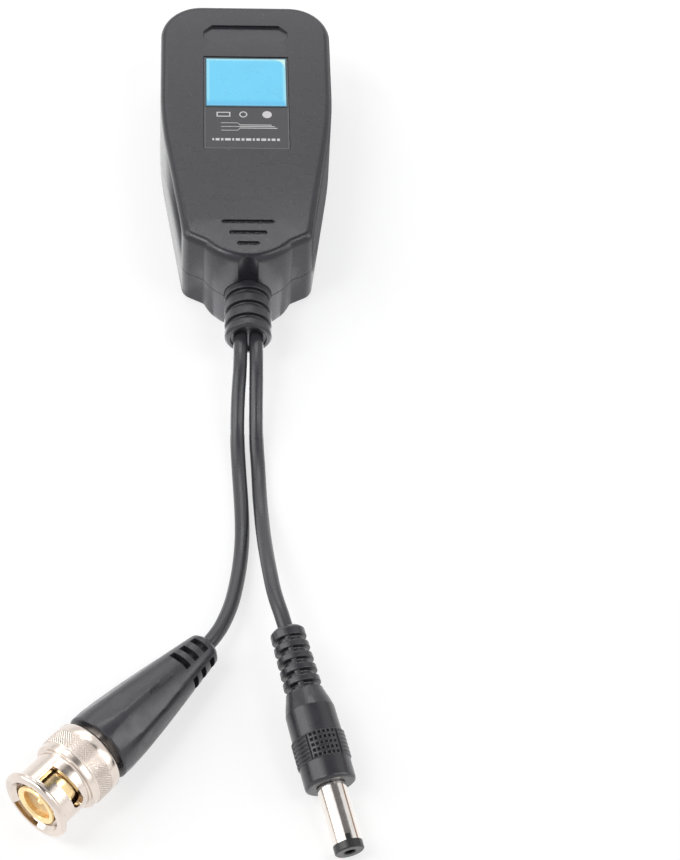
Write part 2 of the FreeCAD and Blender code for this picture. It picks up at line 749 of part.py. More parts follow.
def build_board_parts():
    x, y = TUBE_PLACE
    height = BOARD_TOP + TUBE_RADIUS
    tube = Part.makeCylinder(TUBE_RADIUS, TUBE_LENGTH, Vector(x, y - TUBE_LENGTH / 2, height), Vector(0, 1, 0))
    export("surge_suppressor", tube)
    x, y = CAPACITOR_PLACE
    can = Part.makeCylinder(CAPACITOR_RADIUS, CAPACITOR_HEIGHT, Vector(x, y, BOARD_TOP))
    export("filter_capacitor", can)


def inner_wire(name, start_x, start_z, end_x, end_y):
    """A core of a lead, from the back of the strain relief down to the board."""
    start_y = RELIEF_SEAT + RELIEF_FLANGE_LENGTH
    points = [
        Vector(start_x, start_y, start_z),
        Vector(start_x, start_y + CORE_WIRE_RUN, start_z),
        Vector(end_x, end_y, BOARD_TOP + CORE_WIRE_RUN),
        Vector(end_x, end_y, BOARD_TOP),
    ]
    export(name, tube_along(points, CORE_WIRE_RADIUS, False))


def build_inner_wires():
    landing = BOARD_FAR - BOARD_LENGTH + CORE_WIRE_LANDING
    outer, inner = CORE_WIRE_REACHES
    for name, side, rise, reach in (
        ("video_core_wire", -1, CORE_WIRE_RISE, outer),
        ("video_screen_wire", -1, -CORE_WIRE_RISE, inner),
        ("power_positive_wire", 1, CORE_WIRE_RISE, outer),
        ("power_negative_wire", 1, -CORE_WIRE_RISE, inner),
    ):
        inner_wire(name, side * LEAD_SPACING / 2, RELIEF_AXIS + rise, side * reach, landing)


# Leads and strain relief


def tube_along(points, radius, report=True):
    """A round tube along straight runs joined by tangent arcs, each as large as its runs allow."""
    edges = []
    start = points[0]
    radii = []
    for before, corner, after in zip(points, points[1:], points[2:]):
        one = (before - corner).normalize()
        two = (after - corner).normalize()
        turn = math.pi - one.getAngle(two)
        shorter = min((before - corner).Length, (after - corner).Length)
        arc_radius = 0.45 * shorter / math.tan(turn / 2)
        first, middle, last = blend(before, corner, after, arc_radius)
        edges.append(Part.LineSegment(start, first).toShape())
        edges.append(arc(first, middle, last))
        radii.append(round(arc_radius, 1))
        start = last
    edges.append(Part.LineSegment(start, points[-1]).toShape())
    path = Part.Wire(edges)
    direction = points[1] - points[0]
    section = Part.Wire([Part.makeCircle(radius, points[0], direction)])
    tube = path.makePipeShell([section], True, False)
    if report:
        share = tube.Volume / (math.pi * radius**2 * path.Length)
        print("lead: radii", radii, "length", round(path.Length, 1), "volume share", round(share, 4))
    return tube


def relief_point(side):
    """Where a lead starts, at the floor of the strain relief's end recess."""
    return Vector(side * LEAD_SPACING / 2, RELIEF_END + CUP_DEPTH, RELIEF_AXIS)


def lead_points(side, route, front, forward, length):
    """A lead's whole route. Its last run lies in line with the plug and ends inside the boot."""
    approach = front - forward * (length + MOUTH_APPROACH)
    seat = front - forward * (length - MOUTH_DEPTH)
    return [relief_point(side)] + route + [approach, seat]


def build_leads():
    bnc = lead_points(-1, BNC_ROUTE, BNC_FRONT, axis_of(BNC_YAW, BNC_TILT), BNC_LENGTH)
    dc = lead_points(1, DC_ROUTE, DC_FRONT, axis_of(DC_YAW, DC_TILT), DC_LENGTH)
    export("bnc_lead", tube_along(bnc, LEAD_RADIUS))
    export("dc_lead", tube_along(dc, LEAD_RADIUS))


def build_strain_relief():
    """A ribbed grommet, turned about the housing's long axis. Stations run from its inner face to its end."""
    inner_face = RELIEF_SEAT + RELIEF_FLANGE_LENGTH
    length = inner_face - RELIEF_END
    points = [
        (0, 0),
        (RELIEF_FLANGE_RADIUS, 0),
        (RELIEF_FLANGE_RADIUS, RELIEF_FLANGE_LENGTH - RELIEF_GAP),
        (RELIEF_RADIUS, RELIEF_FLANGE_LENGTH - RELIEF_GAP),
    ]
    for index in reversed(range(RELIEF_GROOVE_COUNT)):
        groove = length - RELIEF_LAST_GROOVE - index * RELIEF_PITCH
        points += [
            (RELIEF_RADIUS, groove - RELIEF_GROOVE_WIDTH / 2),
            (RELIEF_GROOVE_RADIUS, groove - RELIEF_GROOVE_WIDTH / 2),
            (RELIEF_GROOVE_RADIUS, groove + RELIEF_GROOVE_WIDTH / 2),
            (RELIEF_RADIUS, groove + RELIEF_GROOVE_WIDTH / 2),
        ]
    points += [
        (RELIEF_RADIUS, length - RELIEF_EDGE_RADIUS),
        (RELIEF_RADIUS - RELIEF_EDGE_RADIUS, length),
        (CUP_RADIUS, length),
        (CUP_RADIUS, length - CUP_DEPTH),
        (0, length - CUP_DEPTH),
    ]
    shape = turned(points)
    shape.rotate(ORIGIN, Vector(1, 0, 0), -90)
    shape.translate(Vector(0, inner_face, RELIEF_AXIS))
    export("cable_strain_relief", shape)


# Bayonet plug


def bayonet_slot(turn):
    """A window in the nut: an axial leg for the lug, then a ramp that leads back to its detent."""
    leg_angle = math.degrees(SLOT_WIDTH / NUT_BARREL_RADIUS)
    half = SLOT_WIDTH / 2
    reach = NUT_RING_RADIUS + BEYOND
    inner = NUT_BORE_RADIUS - BEYOND / 2
    leg = sector(reach, inner, SLOT_FRONT, SLOT_CORNER + half, turn - leg_angle, leg_angle)
    ramp_start = turn - leg_angle / 2
    ramp_span = SLOT_SPAN - leg_angle
    wires = []
    for index in range(SLOT_SECTIONS):
        share = index / (SLOT_SECTIONS - 1)
        station = SLOT_CORNER + (SLOT_END - SLOT_CORNER) * share
        corners = [
            Vector(inner, 0, half - station),
            Vector(reach, 0, half - station),
            Vector(reach, 0, -half - station),
            Vector(inner, 0, -half - station),
        ]
        wire = Part.makePolygon(corners + corners[:1])
        wire.rotate(ORIGIN, UP, ramp_start - share * ramp_span)
        wires.append(wire)
    ramp = Part.makeLoft(wires, True, True)
    end = math.radians(ramp_start - ramp_span)
    outward = Vector(math.cos(end), math.sin(end), 0)
    detent = Part.makeCylinder(half, reach - inner, Vector(0, 0, -SLOT_END) + outward * inner, outward)
    groove = sector(LUG_GROOVE_RADIUS, inner, -BEYOND, SLOT_FRONT + half, turn - leg_angle, leg_angle)
    entry = sector(ENTRY_RADIUS, inner, -BEYOND, ENTRY_DEPTH, turn - ENTRY_SPAN, ENTRY_SPAN)
    return [leg, ramp, detent, groove, entry]


def build_coupling_nut():
    edge = NUT_EDGE_ROUND
    outer = [
        (NUT_FLANGE_RADIUS - 2 * edge, 0),
        (NUT_FLANGE_RADIUS - edge / 2, edge),
        (NUT_FLANGE_RADIUS, 2 * edge),
        (NUT_FLANGE_RADIUS, NUT_FLANGE_BACK - 2 * edge),
        (NUT_FLANGE_RADIUS - edge, NUT_FLANGE_BACK - edge / 2),
        (NUT_BARREL_RADIUS, NUT_FLANGE_BACK + edge),
        (NUT_BARREL_RADIUS, NUT_RING_FRONT - edge),
        (NUT_BARREL_RADIUS + edge, NUT_RING_FRONT),
        (NUT_RING_RADIUS - edge, NUT_RING_FRONT),
        (NUT_RING_RADIUS, NUT_RING_FRONT + edge),
        (NUT_RING_RADIUS, NUT_RING_BACK - edge / 2),
        (NUT_GROOVE_RADIUS, NUT_RING_BACK),
        (NUT_GROOVE_RADIUS, NUT_KNURL_FRONT - edge / 2),
        (NUT_KNURL_RADIUS - edge / 2, NUT_KNURL_FRONT),
        (NUT_KNURL_RADIUS, NUT_KNURL_FRONT + edge / 2),
        (NUT_KNURL_RADIUS, NUT_KNURL_BACK),
        (NUT_BAND_RADIUS, NUT_KNURL_BACK + edge / 2),
        (NUT_BAND_RADIUS, NUT_LENGTH - NUT_REAR_CHAMFER),
        (NUT_BAND_RADIUS - edge, NUT_LENGTH - NUT_REAR_CHAMFER / 2),
        (NUT_BAND_RADIUS - 3 * edge, NUT_LENGTH),
    ]
    inner = [
        (NUT_CHAMBER_RADIUS, NUT_LENGTH),
        (NUT_CHAMBER_RADIUS, NUT_SHOULDER),
        (NUT_BORE_RADIUS, NUT_SHOULDER),
        (NUT_BORE_RADIUS, NUT_MOUTH_DEPTH),
        (NUT_MOUTH_RADIUS, 0),
    ]
    nut = turned(outer + inner)
    front, back = retainer_range()
    groove = ring(
        NUT_CHAMBER_RADIUS + RETAINER_GROOVE_DEPTH, NUT_BORE_RADIUS, front - RETAINER_GAP, back + RETAINER_GAP
    )
    cuts = [groove] + bayonet_slot(SLOT_TURN) + bayonet_slot(SLOT_TURN + 180)
    export("bnc_coupling_nut", placed(nut.cut(cuts), BNC_PLACE))


def flange_back():
    return NUT_SHOULDER + RING_GAP + BODY_FLANGE_LENGTH


def retainer_range():
    front = flange_back() + WAVE_HEIGHT + THRUST_THICKNESS + RING_GAP
    return (front, front + RETAINER_THICKNESS)


def build_bnc_body():
    """The turned connector body: flange in the nut, neck through it and tail under the boot."""
    flange_radius = NUT_CHAMBER_RADIUS - 2 * RING_GAP
    boot_front = NUT_LENGTH + BNC_BOOT_GAP
    bore = SLEEVE_RADIUS
    points = [
        (bore, NUT_SHOULDER + RING_GAP),
        (flange_radius, NUT_SHOULDER + RING_GAP),
        (flange_radius, flange_back()),
        (BODY_NECK_RADIUS, flange_back()),
        (BODY_NECK_RADIUS, boot_front + BODY_NECK_SEAT),
        (BODY_TAIL_RADIUS, boot_front + BODY_NECK_SEAT),
        (BODY_TAIL_RADIUS, BODY_TAIL_BACK),
        (LEAD_RADIUS, BODY_TAIL_BACK),
        (LEAD_RADIUS, BODY_FLOOR),
        (bore, BODY_FLOOR),
    ]
    export("bnc_body", placed(turned(points), BNC_PLACE))


def build_bnc_contacts():
    inner = SLEEVE_RADIUS - SLEEVE_WALL
    sleeve = turned([
        (inner + SLEEVE_EDGE, SLEEVE_SETBACK),
        (SLEEVE_RADIUS - SLEEVE_EDGE / 2, SLEEVE_SETBACK),
        (SLEEVE_RADIUS, SLEEVE_SETBACK + SLEEVE_EDGE),
        (SLEEVE_RADIUS, SLEEVE_BACK),
        (inner, SLEEVE_BACK),
        (inner, SLEEVE_SETBACK + SLEEVE_EDGE),
    ])
    export("bnc_contact_sleeve", placed(sleeve, BNC_PLACE))
    insulator = ring(inner, PIN_RADIUS, INSULATOR_SETBACK, SLEEVE_BACK)
    export("bnc_insulator", placed(insulator, BNC_PLACE))
    pin = turned([
        (0, PIN_SETBACK),
        (PIN_TIP_RADIUS, PIN_SETBACK + PIN_TIP_LENGTH / 4),
        (PIN_RADIUS, PIN_SETBACK + PIN_TIP_LENGTH),
        (PIN_RADIUS, PIN_BACK),
        (0, PIN_BACK),
    ])
    export("bnc_centre_pin", placed(pin, BNC_PLACE))
    gasket = ring(
        NUT_BORE_RADIUS - RING_GAP, SLEEVE_RADIUS,
        NUT_SHOULDER + RING_GAP - GASKET_THICKNESS, NUT_SHOULDER + RING_GAP,
    )
    export("bnc_gasket", placed(gasket, BNC_PLACE))


def build_nut_retention():
    """Wave spring washer, thrust washer and the split ring that holds the nut on the body."""
    inner = BODY_NECK_RADIUS + RING_GAP
    outer = NUT_CHAMBER_RADIUS - 2 * RING_GAP
    front = flange_back()
    waves = [wave_piece(inner, outer, front, index) for index in range(WAVE_STEPS)]
    export("bnc_wave_washer", placed(fuse(waves), BNC_PLACE))
    thrust_front = front + WAVE_HEIGHT
    thrust = ring(outer, inner, thrust_front, thrust_front + THRUST_THICKNESS)
    export("bnc_thrust_washer", placed(thrust, BNC_PLACE))
    low, high = retainer_range()
    reach = NUT_CHAMBER_RADIUS + RETAINER_GROOVE_DEPTH - RETAINER_GAP
    retainer = sector(reach, inner, low, high, RETAINER_OPENING / 2, 360 - RETAINER_OPENING)
    export("bnc_retaining_ring", placed(retainer, BNC_PLACE))


def wave_piece(inner, outer, front, index):
    """One short piece of the wave washer, lofted from one radial section to the next."""
    step = 360 / WAVE_STEPS
    inner = inner / math.cos(math.radians(step / 2))
    wires = []
    for angle in (index * step, (index + 1) * step):
        share = (1 - math.cos(math.radians(angle * WAVE_COUNT))) / 2
        station = front + (WAVE_HEIGHT - WAVE_THICKNESS) * share
        corners = [
            Vector(inner, 0, -station),
            Vector(outer, 0, -station),
            Vector(outer, 0, -station - WAVE_THICKNESS),
            Vector(inner, 0, -station - WAVE_THICKNESS),
        ]
        wire = Part.makePolygon(corners + corners[:1])
        wire.rotate(ORIGIN, UP, angle)
        wires.append(wire)
    return Part.makeLoft(wires, True, True)


def flat_cone(count, turn, stations):
    """A many sided cone that planes shallow flats on a round boot."""
    wires = []
    for radius, station in stations:
        corner = radius / math.cos(math.pi / count)
        corners = [
            Vector(corner * math.cos(angle), corner * math.sin(angle), -station)
            for angle in (
                math.radians(turn) + (index + 0.5) * 2 * math.pi / count for index in range(count)
            )
        ]
        wires.append(Part.makePolygon(corners + corners[:1]))
    return Part.makeLoft(wires, True, True)


def radius_at(profile, station):
    """The radius of a turned profile at a station."""
    for (first, front), (last, back) in zip(profile, profile[1:]):
        if front <= station <= back and front < back:
            return first + (last - first) * (station - front) / (back - front)
    return profile[-1][0]


def lead_mouth(back):
    """The inside of a boot's end, where the lead goes in."""
    return [
        (LEAD_RADIUS + MOUTH_GAP, back),
        (LEAD_RADIUS + MOUTH_GAP, back - MOUTH_DEPTH),
        (0, back - MOUTH_DEPTH),
    ]


def groove_row(profile, station, width, root, count, web_angle, turn):
    """One row of grooves in a boot's tail, with webs left between them."""
    outer = radius_at(profile, station) + BEYOND
    open_angle = 360 / count - web_angle
    front = station - width / 2
    starts = [turn + web_angle / 2 + index * 360 / count for index in range(count)]
    return [sector(outer, root, front, front + width, start, open_angle) for start in starts]


def build_bnc_boot():
    front = NUT_LENGTH + BNC_BOOT_GAP
    back = BNC_LENGTH
    neck = front + BNC_BOOT_NECK
    fall = BNC_BOOT_RADIUS - BNC_BOOT_NECK_RADIUS
    skin = [
        (BNC_BOOT_RADIUS - BNC_BOOT_RIM, front),
        (BNC_BOOT_RADIUS, front + BNC_BOOT_RIM),
        (BNC_BOOT_RADIUS, front + BNC_BOOT_STRAIGHT),
    ]
    skin += [(BNC_BOOT_RADIUS - drop * fall, front + share * BNC_BOOT_NECK) for share, drop in BNC_BOOT_FALL]
    skin += [
        (BNC_BOOT_NECK_RADIUS, neck),
        (BNC_BOOT_TAIL_RADIUS + BNC_BOOT_TAIL_BULGE, back - 2 * BNC_BOOT_TAIL_ROUND),
        (BNC_BOOT_TAIL_RADIUS, back - BNC_BOOT_TAIL_ROUND),
        (BNC_BOOT_TAIL_RADIUS - BNC_BOOT_TAIL_ROUND, back),
    ]
    seat = [
        (0, BODY_TAIL_BACK),
        (BODY_TAIL_RADIUS, BODY_TAIL_BACK),
        (BODY_TAIL_RADIUS, front + BODY_NECK_SEAT),
        (BODY_NECK_RADIUS, front + BODY_NECK_SEAT),
        (BODY_NECK_RADIUS, front),
    ]
    boot = turned(skin + lead_mouth(back) + seat)
    share = 1 - BNC_FLAT_DEPTH
    middle = front + BNC_BOOT_FALL[1][0] * BNC_BOOT_NECK
    flats = [
        (BNC_BOOT_RADIUS, front - TOUCH),
        (BNC_BOOT_RADIUS * share, front + BNC_FLAT_START),
        (radius_at(skin, middle) * share, middle),
        (BNC_BOOT_NECK_RADIUS, neck),
        (BNC_BOOT_NECK_RADIUS, back + TOUCH),
    ]
    boot = boot.common(flat_cone(BNC_FLAT_COUNT, BNC_FLAT_TURN, flats))
    boot = fuse([boot, boot_rib(skin, front + BNC_RIB_FRONT)])
    slots = []
    for place in BNC_SLOT_PLACES:
        slots += groove_row(
            skin, front + place, BNC_SLOT_WIDTH, BNC_SLOT_ROOT_RADIUS,
            BNC_SLOT_COUNT, BNC_WEB_ANGLE, 180 / BNC_SLOT_COUNT,
        )
    export("bnc_boot", placed(boot.cut(slots), BNC_PLACE))


def boot_rib(skin, front):
    """A short raised rib along the boot, with sloping ends."""
    back = front + BNC_RIB_LENGTH
    ramp = 2 * BNC_RIB_HEIGHT
    root = 2 * BNC_RIB_HEIGHT
    points = [
        (radius_at(skin, front) - root, front),
        (radius_at(skin, front), front),
        (radius_at(skin, front + ramp) + BNC_RIB_HEIGHT, front + ramp),
        (radius_at(skin, back - ramp) + BNC_RIB_HEIGHT, back - ramp),
        (radius_at(skin, back), back),
        (radius_at(skin, back) - root, back),
    ]
    corners = [Vector(radius, -BNC_RIB_WIDTH / 2, -station) for radius, station in points]
    rib = Part.Face(Part.makePolygon(corners + corners[:1])).extrude(Vector(0, BNC_RIB_WIDTH, 0))
    rib.rotate(ORIGIN, UP, BNC_RIB_TURN)
    return rib


# Power plug


def build_dc_plug():
    inner = DC_BARREL_RADIUS - DC_BARREL_WALL
    key_back = DC_TIP_LENGTH + DC_KEY_LENGTH
    root = DC_BARREL_REACH - DC_ROOT_REACH
    barrel = turned([
        (inner, DC_TIP_LENGTH),
        (DC_BARREL_RADIUS, DC_TIP_LENGTH),
        (DC_BARREL_RADIUS, root),
        (DC_ROOT_RADIUS, root),
        (DC_ROOT_RADIUS, DC_BARREL_BACK),
        (inner, DC_BARREL_BACK),
    ])
    slot = box((0, DC_BARREL_RADIUS + BEYOND), across(DC_KEY_WIDTH), (-key_back, 0))
    export("dc_plug_barrel", placed(barrel.cut(slot), DC_PLACE))
    contact_radius = DC_PIN_HOLE_RADIUS + DC_CONTACT_WALL
    tip = turned([
        (DC_PIN_HOLE_RADIUS + DC_TIP_EDGE, 0),
        (DC_BARREL_RADIUS - DC_TIP_EDGE, 0),
        (DC_BARREL_RADIUS, DC_TIP_EDGE),
        (DC_BARREL_RADIUS, DC_TIP_LENGTH),
        (inner, DC_TIP_LENGTH),
        (inner, DC_BARREL_BACK),
        (contact_radius, DC_BARREL_BACK),
        (contact_radius, DC_CONTACT_SETBACK),
        (DC_PIN_HOLE_RADIUS, DC_CONTACT_SETBACK),
        (DC_PIN_HOLE_RADIUS, DC_TIP_EDGE),
    ])
    key = box((0, DC_BARREL_RADIUS), across(DC_KEY_WIDTH), (-key_back, -DC_TIP_LENGTH))
    key = key.common(ring(DC_BARREL_RADIUS, contact_radius, 0, DC_BARREL_BACK))
    export("dc_plug_tip_insulator", placed(fuse([tip, key]), DC_PLACE))
    contact = ring(contact_radius, DC_PIN_HOLE_RADIUS, DC_CONTACT_SETBACK, DC_CONTACT_BACK)
    export("dc_plug_inner_contact", placed(contact, DC_PLACE))


def build_dc_boot():
    front = DC_BARREL_REACH
    neck = front + DC_BOOT_LENGTH
    back = DC_LENGTH
    shoulder = front + DC_BOOT_SHOULDER
    skin = [
        (DC_BOOT_RADIUS - DC_BOOT_EDGE_RADIUS, front),
        (DC_BOOT_RADIUS - 0.3 * DC_BOOT_EDGE_RADIUS, front + 0.3 * DC_BOOT_EDGE_RADIUS),
        (DC_BOOT_RADIUS, front + DC_BOOT_EDGE_RADIUS),
        (DC_BOOT_RADIUS, front + DC_BOOT_STRAIGHT),
        (DC_BOOT_SHOULDER_RADIUS, shoulder),
        (DC_BOOT_SHOULDER_RADIUS - DC_BOOT_SHOULDER_FALL, shoulder + DC_BOOT_SHOULDER_RUN),
        (DC_RELIEF_FRONT_RADIUS, neck),
        (DC_RELIEF_BACK_RADIUS, back - DC_COLLAR_ROUND),
        (DC_RELIEF_BACK_RADIUS - DC_COLLAR_ROUND, back),
    ]
    seat = [
        (0, DC_CONTACT_BACK),
        (DC_ROOT_RADIUS, DC_CONTACT_BACK),
        (DC_ROOT_RADIUS, front),
    ]
    boot = turned(skin + lead_mouth(back) + seat)
    slots = []
    for row in range(DC_GROOVE_COUNT):
        station = neck + DC_GROOVE_FIRST + row * DC_GROOVE_PITCH
        slots += groove_row(
            skin, station, DC_GROOVE_WIDTH, DC_GROOVE_ROOT_RADIUS,
            DC_WEB_COUNT, DC_WEB_ANGLE, DC_WEB_TURN,
        )
        web_top = radius_at(skin, station) - DC_WEB_DROP
        edge = station - DC_GROOVE_WIDTH / 2
        slots.append(ring(web_top + BEYOND, web_top, edge, edge + DC_GROOVE_WIDTH))
    export("dc_plug_boot", placed(boot.cut(slots), DC_PLACE))


os.makedirs("parts", exist_ok=True)
build_covers()
build_label()
build_board()
build_jack()
build_contacts()
build_balun()
build_board_parts()
build_inner_wires()
build_strain_relief()
build_leads()
build_coupling_nut()
build_bnc_body()
build_bnc_contacts()
build_nut_retention()
build_bnc_boot()
build_dc_plug()
build_dc_boot()
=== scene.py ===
import json
import math
import bpy
import bmesh
from mathutils import Matrix, Vector


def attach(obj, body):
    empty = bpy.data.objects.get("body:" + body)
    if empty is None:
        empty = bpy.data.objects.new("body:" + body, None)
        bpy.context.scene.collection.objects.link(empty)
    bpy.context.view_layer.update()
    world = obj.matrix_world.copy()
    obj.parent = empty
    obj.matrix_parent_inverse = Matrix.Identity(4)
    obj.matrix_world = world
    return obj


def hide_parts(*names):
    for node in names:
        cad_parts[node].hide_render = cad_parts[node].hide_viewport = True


MM = 0.001

# Camera, fitted to the housing's outline and to both plugs, in mm and degrees
CAMERA_PLACE = (-13.11, -385.27, 436.61)
CAMERA_AZIMUTH = -5.591
CAMERA_ELEVATION = 53.425
CAMERA_ROLL = 4.688
CAMERA_LENS = 113.02
CAMERA_SENSOR = 36
CAMERA_NEAR = 10
CAMERA_FAR = 20000

# Plugs, as in the part: where the front face is, in mm, and the way it points, in degrees
BNC_FRONT = (-39.41, -152.65, 8.29)
BNC_YAW = 41.1
BNC_TILT = 3.8
DC_FRONT = (17.05, -159.05, 2.81)
DC_YAW = -14.1
DC_TILT = -8.4

# Leads, in mm: lengths along the centre line, and how they end in the plugs' boots
LEAD_RADIUS = 1.45
BNC_PLUG_LENGTH = 47.0
DC_PLUG_LENGTH = 44.6
MOUTH_DEPTH = 5.0
MOUTH_APPROACH = 2.2
CURVE_ORDER = 3
CURVE_STEPS = 24
CURVE_ROUNDNESS = 10

# The leads' route points from the strain relief on, in mm, as in the part
BNC_ROUTE = [
    (-1.6, -45.55, 8.3),
    (-1.6, -52.15, 8.3),
    (-2.2, -59.65, 5.9),
    (-2.35, -67.15, 2.7),
    (-2.0, -74.65, 1.5),
    (-1.62, -82.15, 1.55),
    (-1.47, -89.15, 1.5),
    (-1.92, -95.65, 1.7),
    (-2.8, -101.85, 2.4),
    (-4.16, -108.25, 3.5),
]
DC_ROUTE = [
    (1.6, -45.55, 8.3),
    (1.6, -52.15, 8.3),
    (1.45, -59.65, 5.9),
    (1.4, -67.15, 2.7),
    (1.8, -73.65, 1.5),
    (1.94, -79.65, 1.6),
    (2.21, -85.65, 2.7),
    (2.5, -91.65, 4.6),
    (2.95, -97.65, 6.7),
    (3.5, -103.05, 8.3),
    (4.2, -108.4, 9.3),
]

# CAD meshes: edges sharper than this many degrees stay sharp. Two moulded rubber forms are built
# again from voxels of these sizes in mm and then smoothed.
WELD_GAP = 0.001
SHARP_ANGLE = 32
SOFT_VOXELS = {"dc_plug_boot": 0.12, "cable_strain_relief": 0.13}
SOFT_FACTOR = 0.5
SOFT_ROUNDS = 3

# Knurled band of the coupling nut, in mm from the nut's front
KNURL_FRONT = 9.75
KNURL_BACK = 13.0
KNURL_ROOT = 7.11
KNURL_TIP = 7.27
KNURL_SUNK = 0.05
KNURL_SLOPE = 1.6
KNURL_COUNT = 76
KNURL_COLUMNS = 10 * KNURL_COUNT
KNURL_ROWS = 40
KNURL_RAMP = 2

# Grip band of the power plug's boot, in mm from the plug's tip and in degrees round it
GRIP_FRONT = 17.1
GRIP_BACK = 22.4
GRIP_RADIUS = 4.79
GRIP_HEIGHT = 0.3
GRIP_SUNK = 0.06
GRIP_BASE = 0.3
GRIP_TURN = -2.0
GRIP_PERIOD = 120.0
GRIP_COLUMNS = 480
GRIP_ROWS = 72
GRIP_RAMP = 3
GRIP_SOFTENING = 0.5

# Pattern of the grip band: each period has a field of pits, a groove on both sides of it, then
# ribs. Fields end at degrees from the period's middle; widths and heights are shares.
PIT_FIELD = 30
PIT_PITCH = 10
PIT_ROWS = 5
PIT_HALF_WIDTH = 0.29
PIT_HALF_LENGTH = 0.27
LAND_HEIGHT = 0.8
GROOVE_FIELD = 38
GROOVE_HALF_WIDTH = 0.2
GROOVE_HEIGHT = 0.1
RIB_COUNT = 6.5
RIB_START = 0.25
RIB_HEIGHT = 0.6
RIB_SWING = 0.4

# Grip grooves of the housing, in mm: middle, length and height of the floor
GROOVES = ((-30.45, 4.6, 19.225), (-27.7, 7.7, 19.369), (-24.95, 10.8, 19.513))

# Lumps on the floors of those grooves, in mm; levels, spread and swell are shares
LUMP_PITCH = 0.62
LUMP_REACH = 0.31
LUMP_HEIGHT = 0.42
LUMP_SUNK = 0.03
LUMP_SIDES = 8
LUMP_LEVELS = (0.0, 0.45, 0.8)
LUMP_SHIFT = 0.07
LUMP_SWAY = 0.12
LUMP_SPREAD = 0.25
LUMP_SWELL = 0.2

# Label, in mm: the blue field and the dark plate under it
FIELD_X = 8.7
FIELD_Y = (6.9, 21.1)
FIELD_OUTLINE = 0.32
FIELD_FRAME = 0.95
FOOT_FULL = 1.0
FOOT_END = 2.2
FOOT_SHARE = 0.8
# Painted highlight at the blue field's rounded top corner: its radius, inset and blur
CORNER_RADIUS = 2.6
CORNER_INSET = 0.5
CORNER_BLUR = 0.2
PLATE_TOP = 19.8
PLATE_X = 8.85
PLATE_Y = (-4.85, 21.25)
PLATE_OUTLINE = 0.2
BORDER_BLUR = 0.04

# Marks on the dark half of the label, in mm
MARK_RISE = 0.02
DISC_STEPS = 40
FRAME_BARS = (
    (-6.3, 4.1, -3.4, 4.35),
    (-6.3, 5.2, -3.4, 5.45),
    (-6.3, 4.35, -6.05, 5.2),
    (-3.65, 4.35, -3.4, 5.2),
)
RING = (-0.7, 4.78, 0.85, 0.6)
DISC = (4.3, 4.78, 1.0)
LINE_START = -5.4
STEP_START = -1.9
STEP_END = -1.4
LINE_WIDTHS = (0.13, 0.2)
STEPPED_LINES = ((2.3, -0.6, 5.2), (1.25, 0.0, 5.9), (0.2, 0.6, 6.4))
ROW_START = -7.2
ROW_Y = (-2.65, -2.0)
ROW_GAP = 0.32
ROW_WIDTHS = (0.35, 0.8, 0.5, 1.2, 0.4, 0.9, 0.6, 1.1, 0.45, 0.7, 1.0, 0.5, 0.8, 0.6)

# Colours that are used more than once or need a name
BLUE = (0.14, 0.63, 0.92)
BLUE_PALE = (0.26, 0.72, 0.92)
BLUE_DEEP = (0.1, 0.5, 0.82)
# Painted highlight at the blue field's top corner
BLUE_CORNER_HIGHLIGHT = (0.62, 0.9, 0.86)
BLUE_EDGE = (0.012, 0.055, 0.08)
PLATE_EDGE = (0.12, 0.12, 0.13)
BOOT_BLACK = (0.036, 0.036, 0.043)
NICKEL = (0.69, 0.61, 0.55)
SPECK = (0.55, 0.55, 0.56)
WHITE = (1, 1, 1)

# What most of a noise lies between, and the gloss that is left at the bottom of a hollow
NOISE_RANGE = (0.3, 0.7)
HOLLOW_GLOSS = 0.05

# Floor and background: reach in metres, shades and how bright they glow
FLOOR_REACH = 3.0
FLOOR_LIT = (0.8, 0.8, 0.8)
FLOOR_SEEN = (0.4, 0.4, 0.4)
FLOOR_GLOW = 0.68
FLOOR_REFLECTED = 0.2
SKY = (0.97, 0.98, 1)
SKY_STRENGTH = 0.17

# Softboxes: name, place and size in metres, power in watts and the point they face
MIDDLE = (0, -0.06, 0)
SOFTBOXES = (
    ("east", (0.85, -0.17, 0.46), (0.38, 0.7), 2.3, MIDDLE),
    ("west", (-0.46, -0.28, 0.9), (0.25, 0.36), 2.3, MIDDLE),
    ("right", (0.44, -0.27, 0.86), (0.2, 0.3), 1.1, MIDDLE),
    ("left", (-0.8, 0.0, 0.56), (0.6, 0.8), 3.6, MIDDLE),
    ("north", (-0.05, 0.3, 0.25), (0.5, 0.12), 0.27, (0, 0.03, 0)),
    ("ridge", (0, 0.2, 0.4), (0.3, 0.06), 0.3, (0, -0.03, 0)),
)

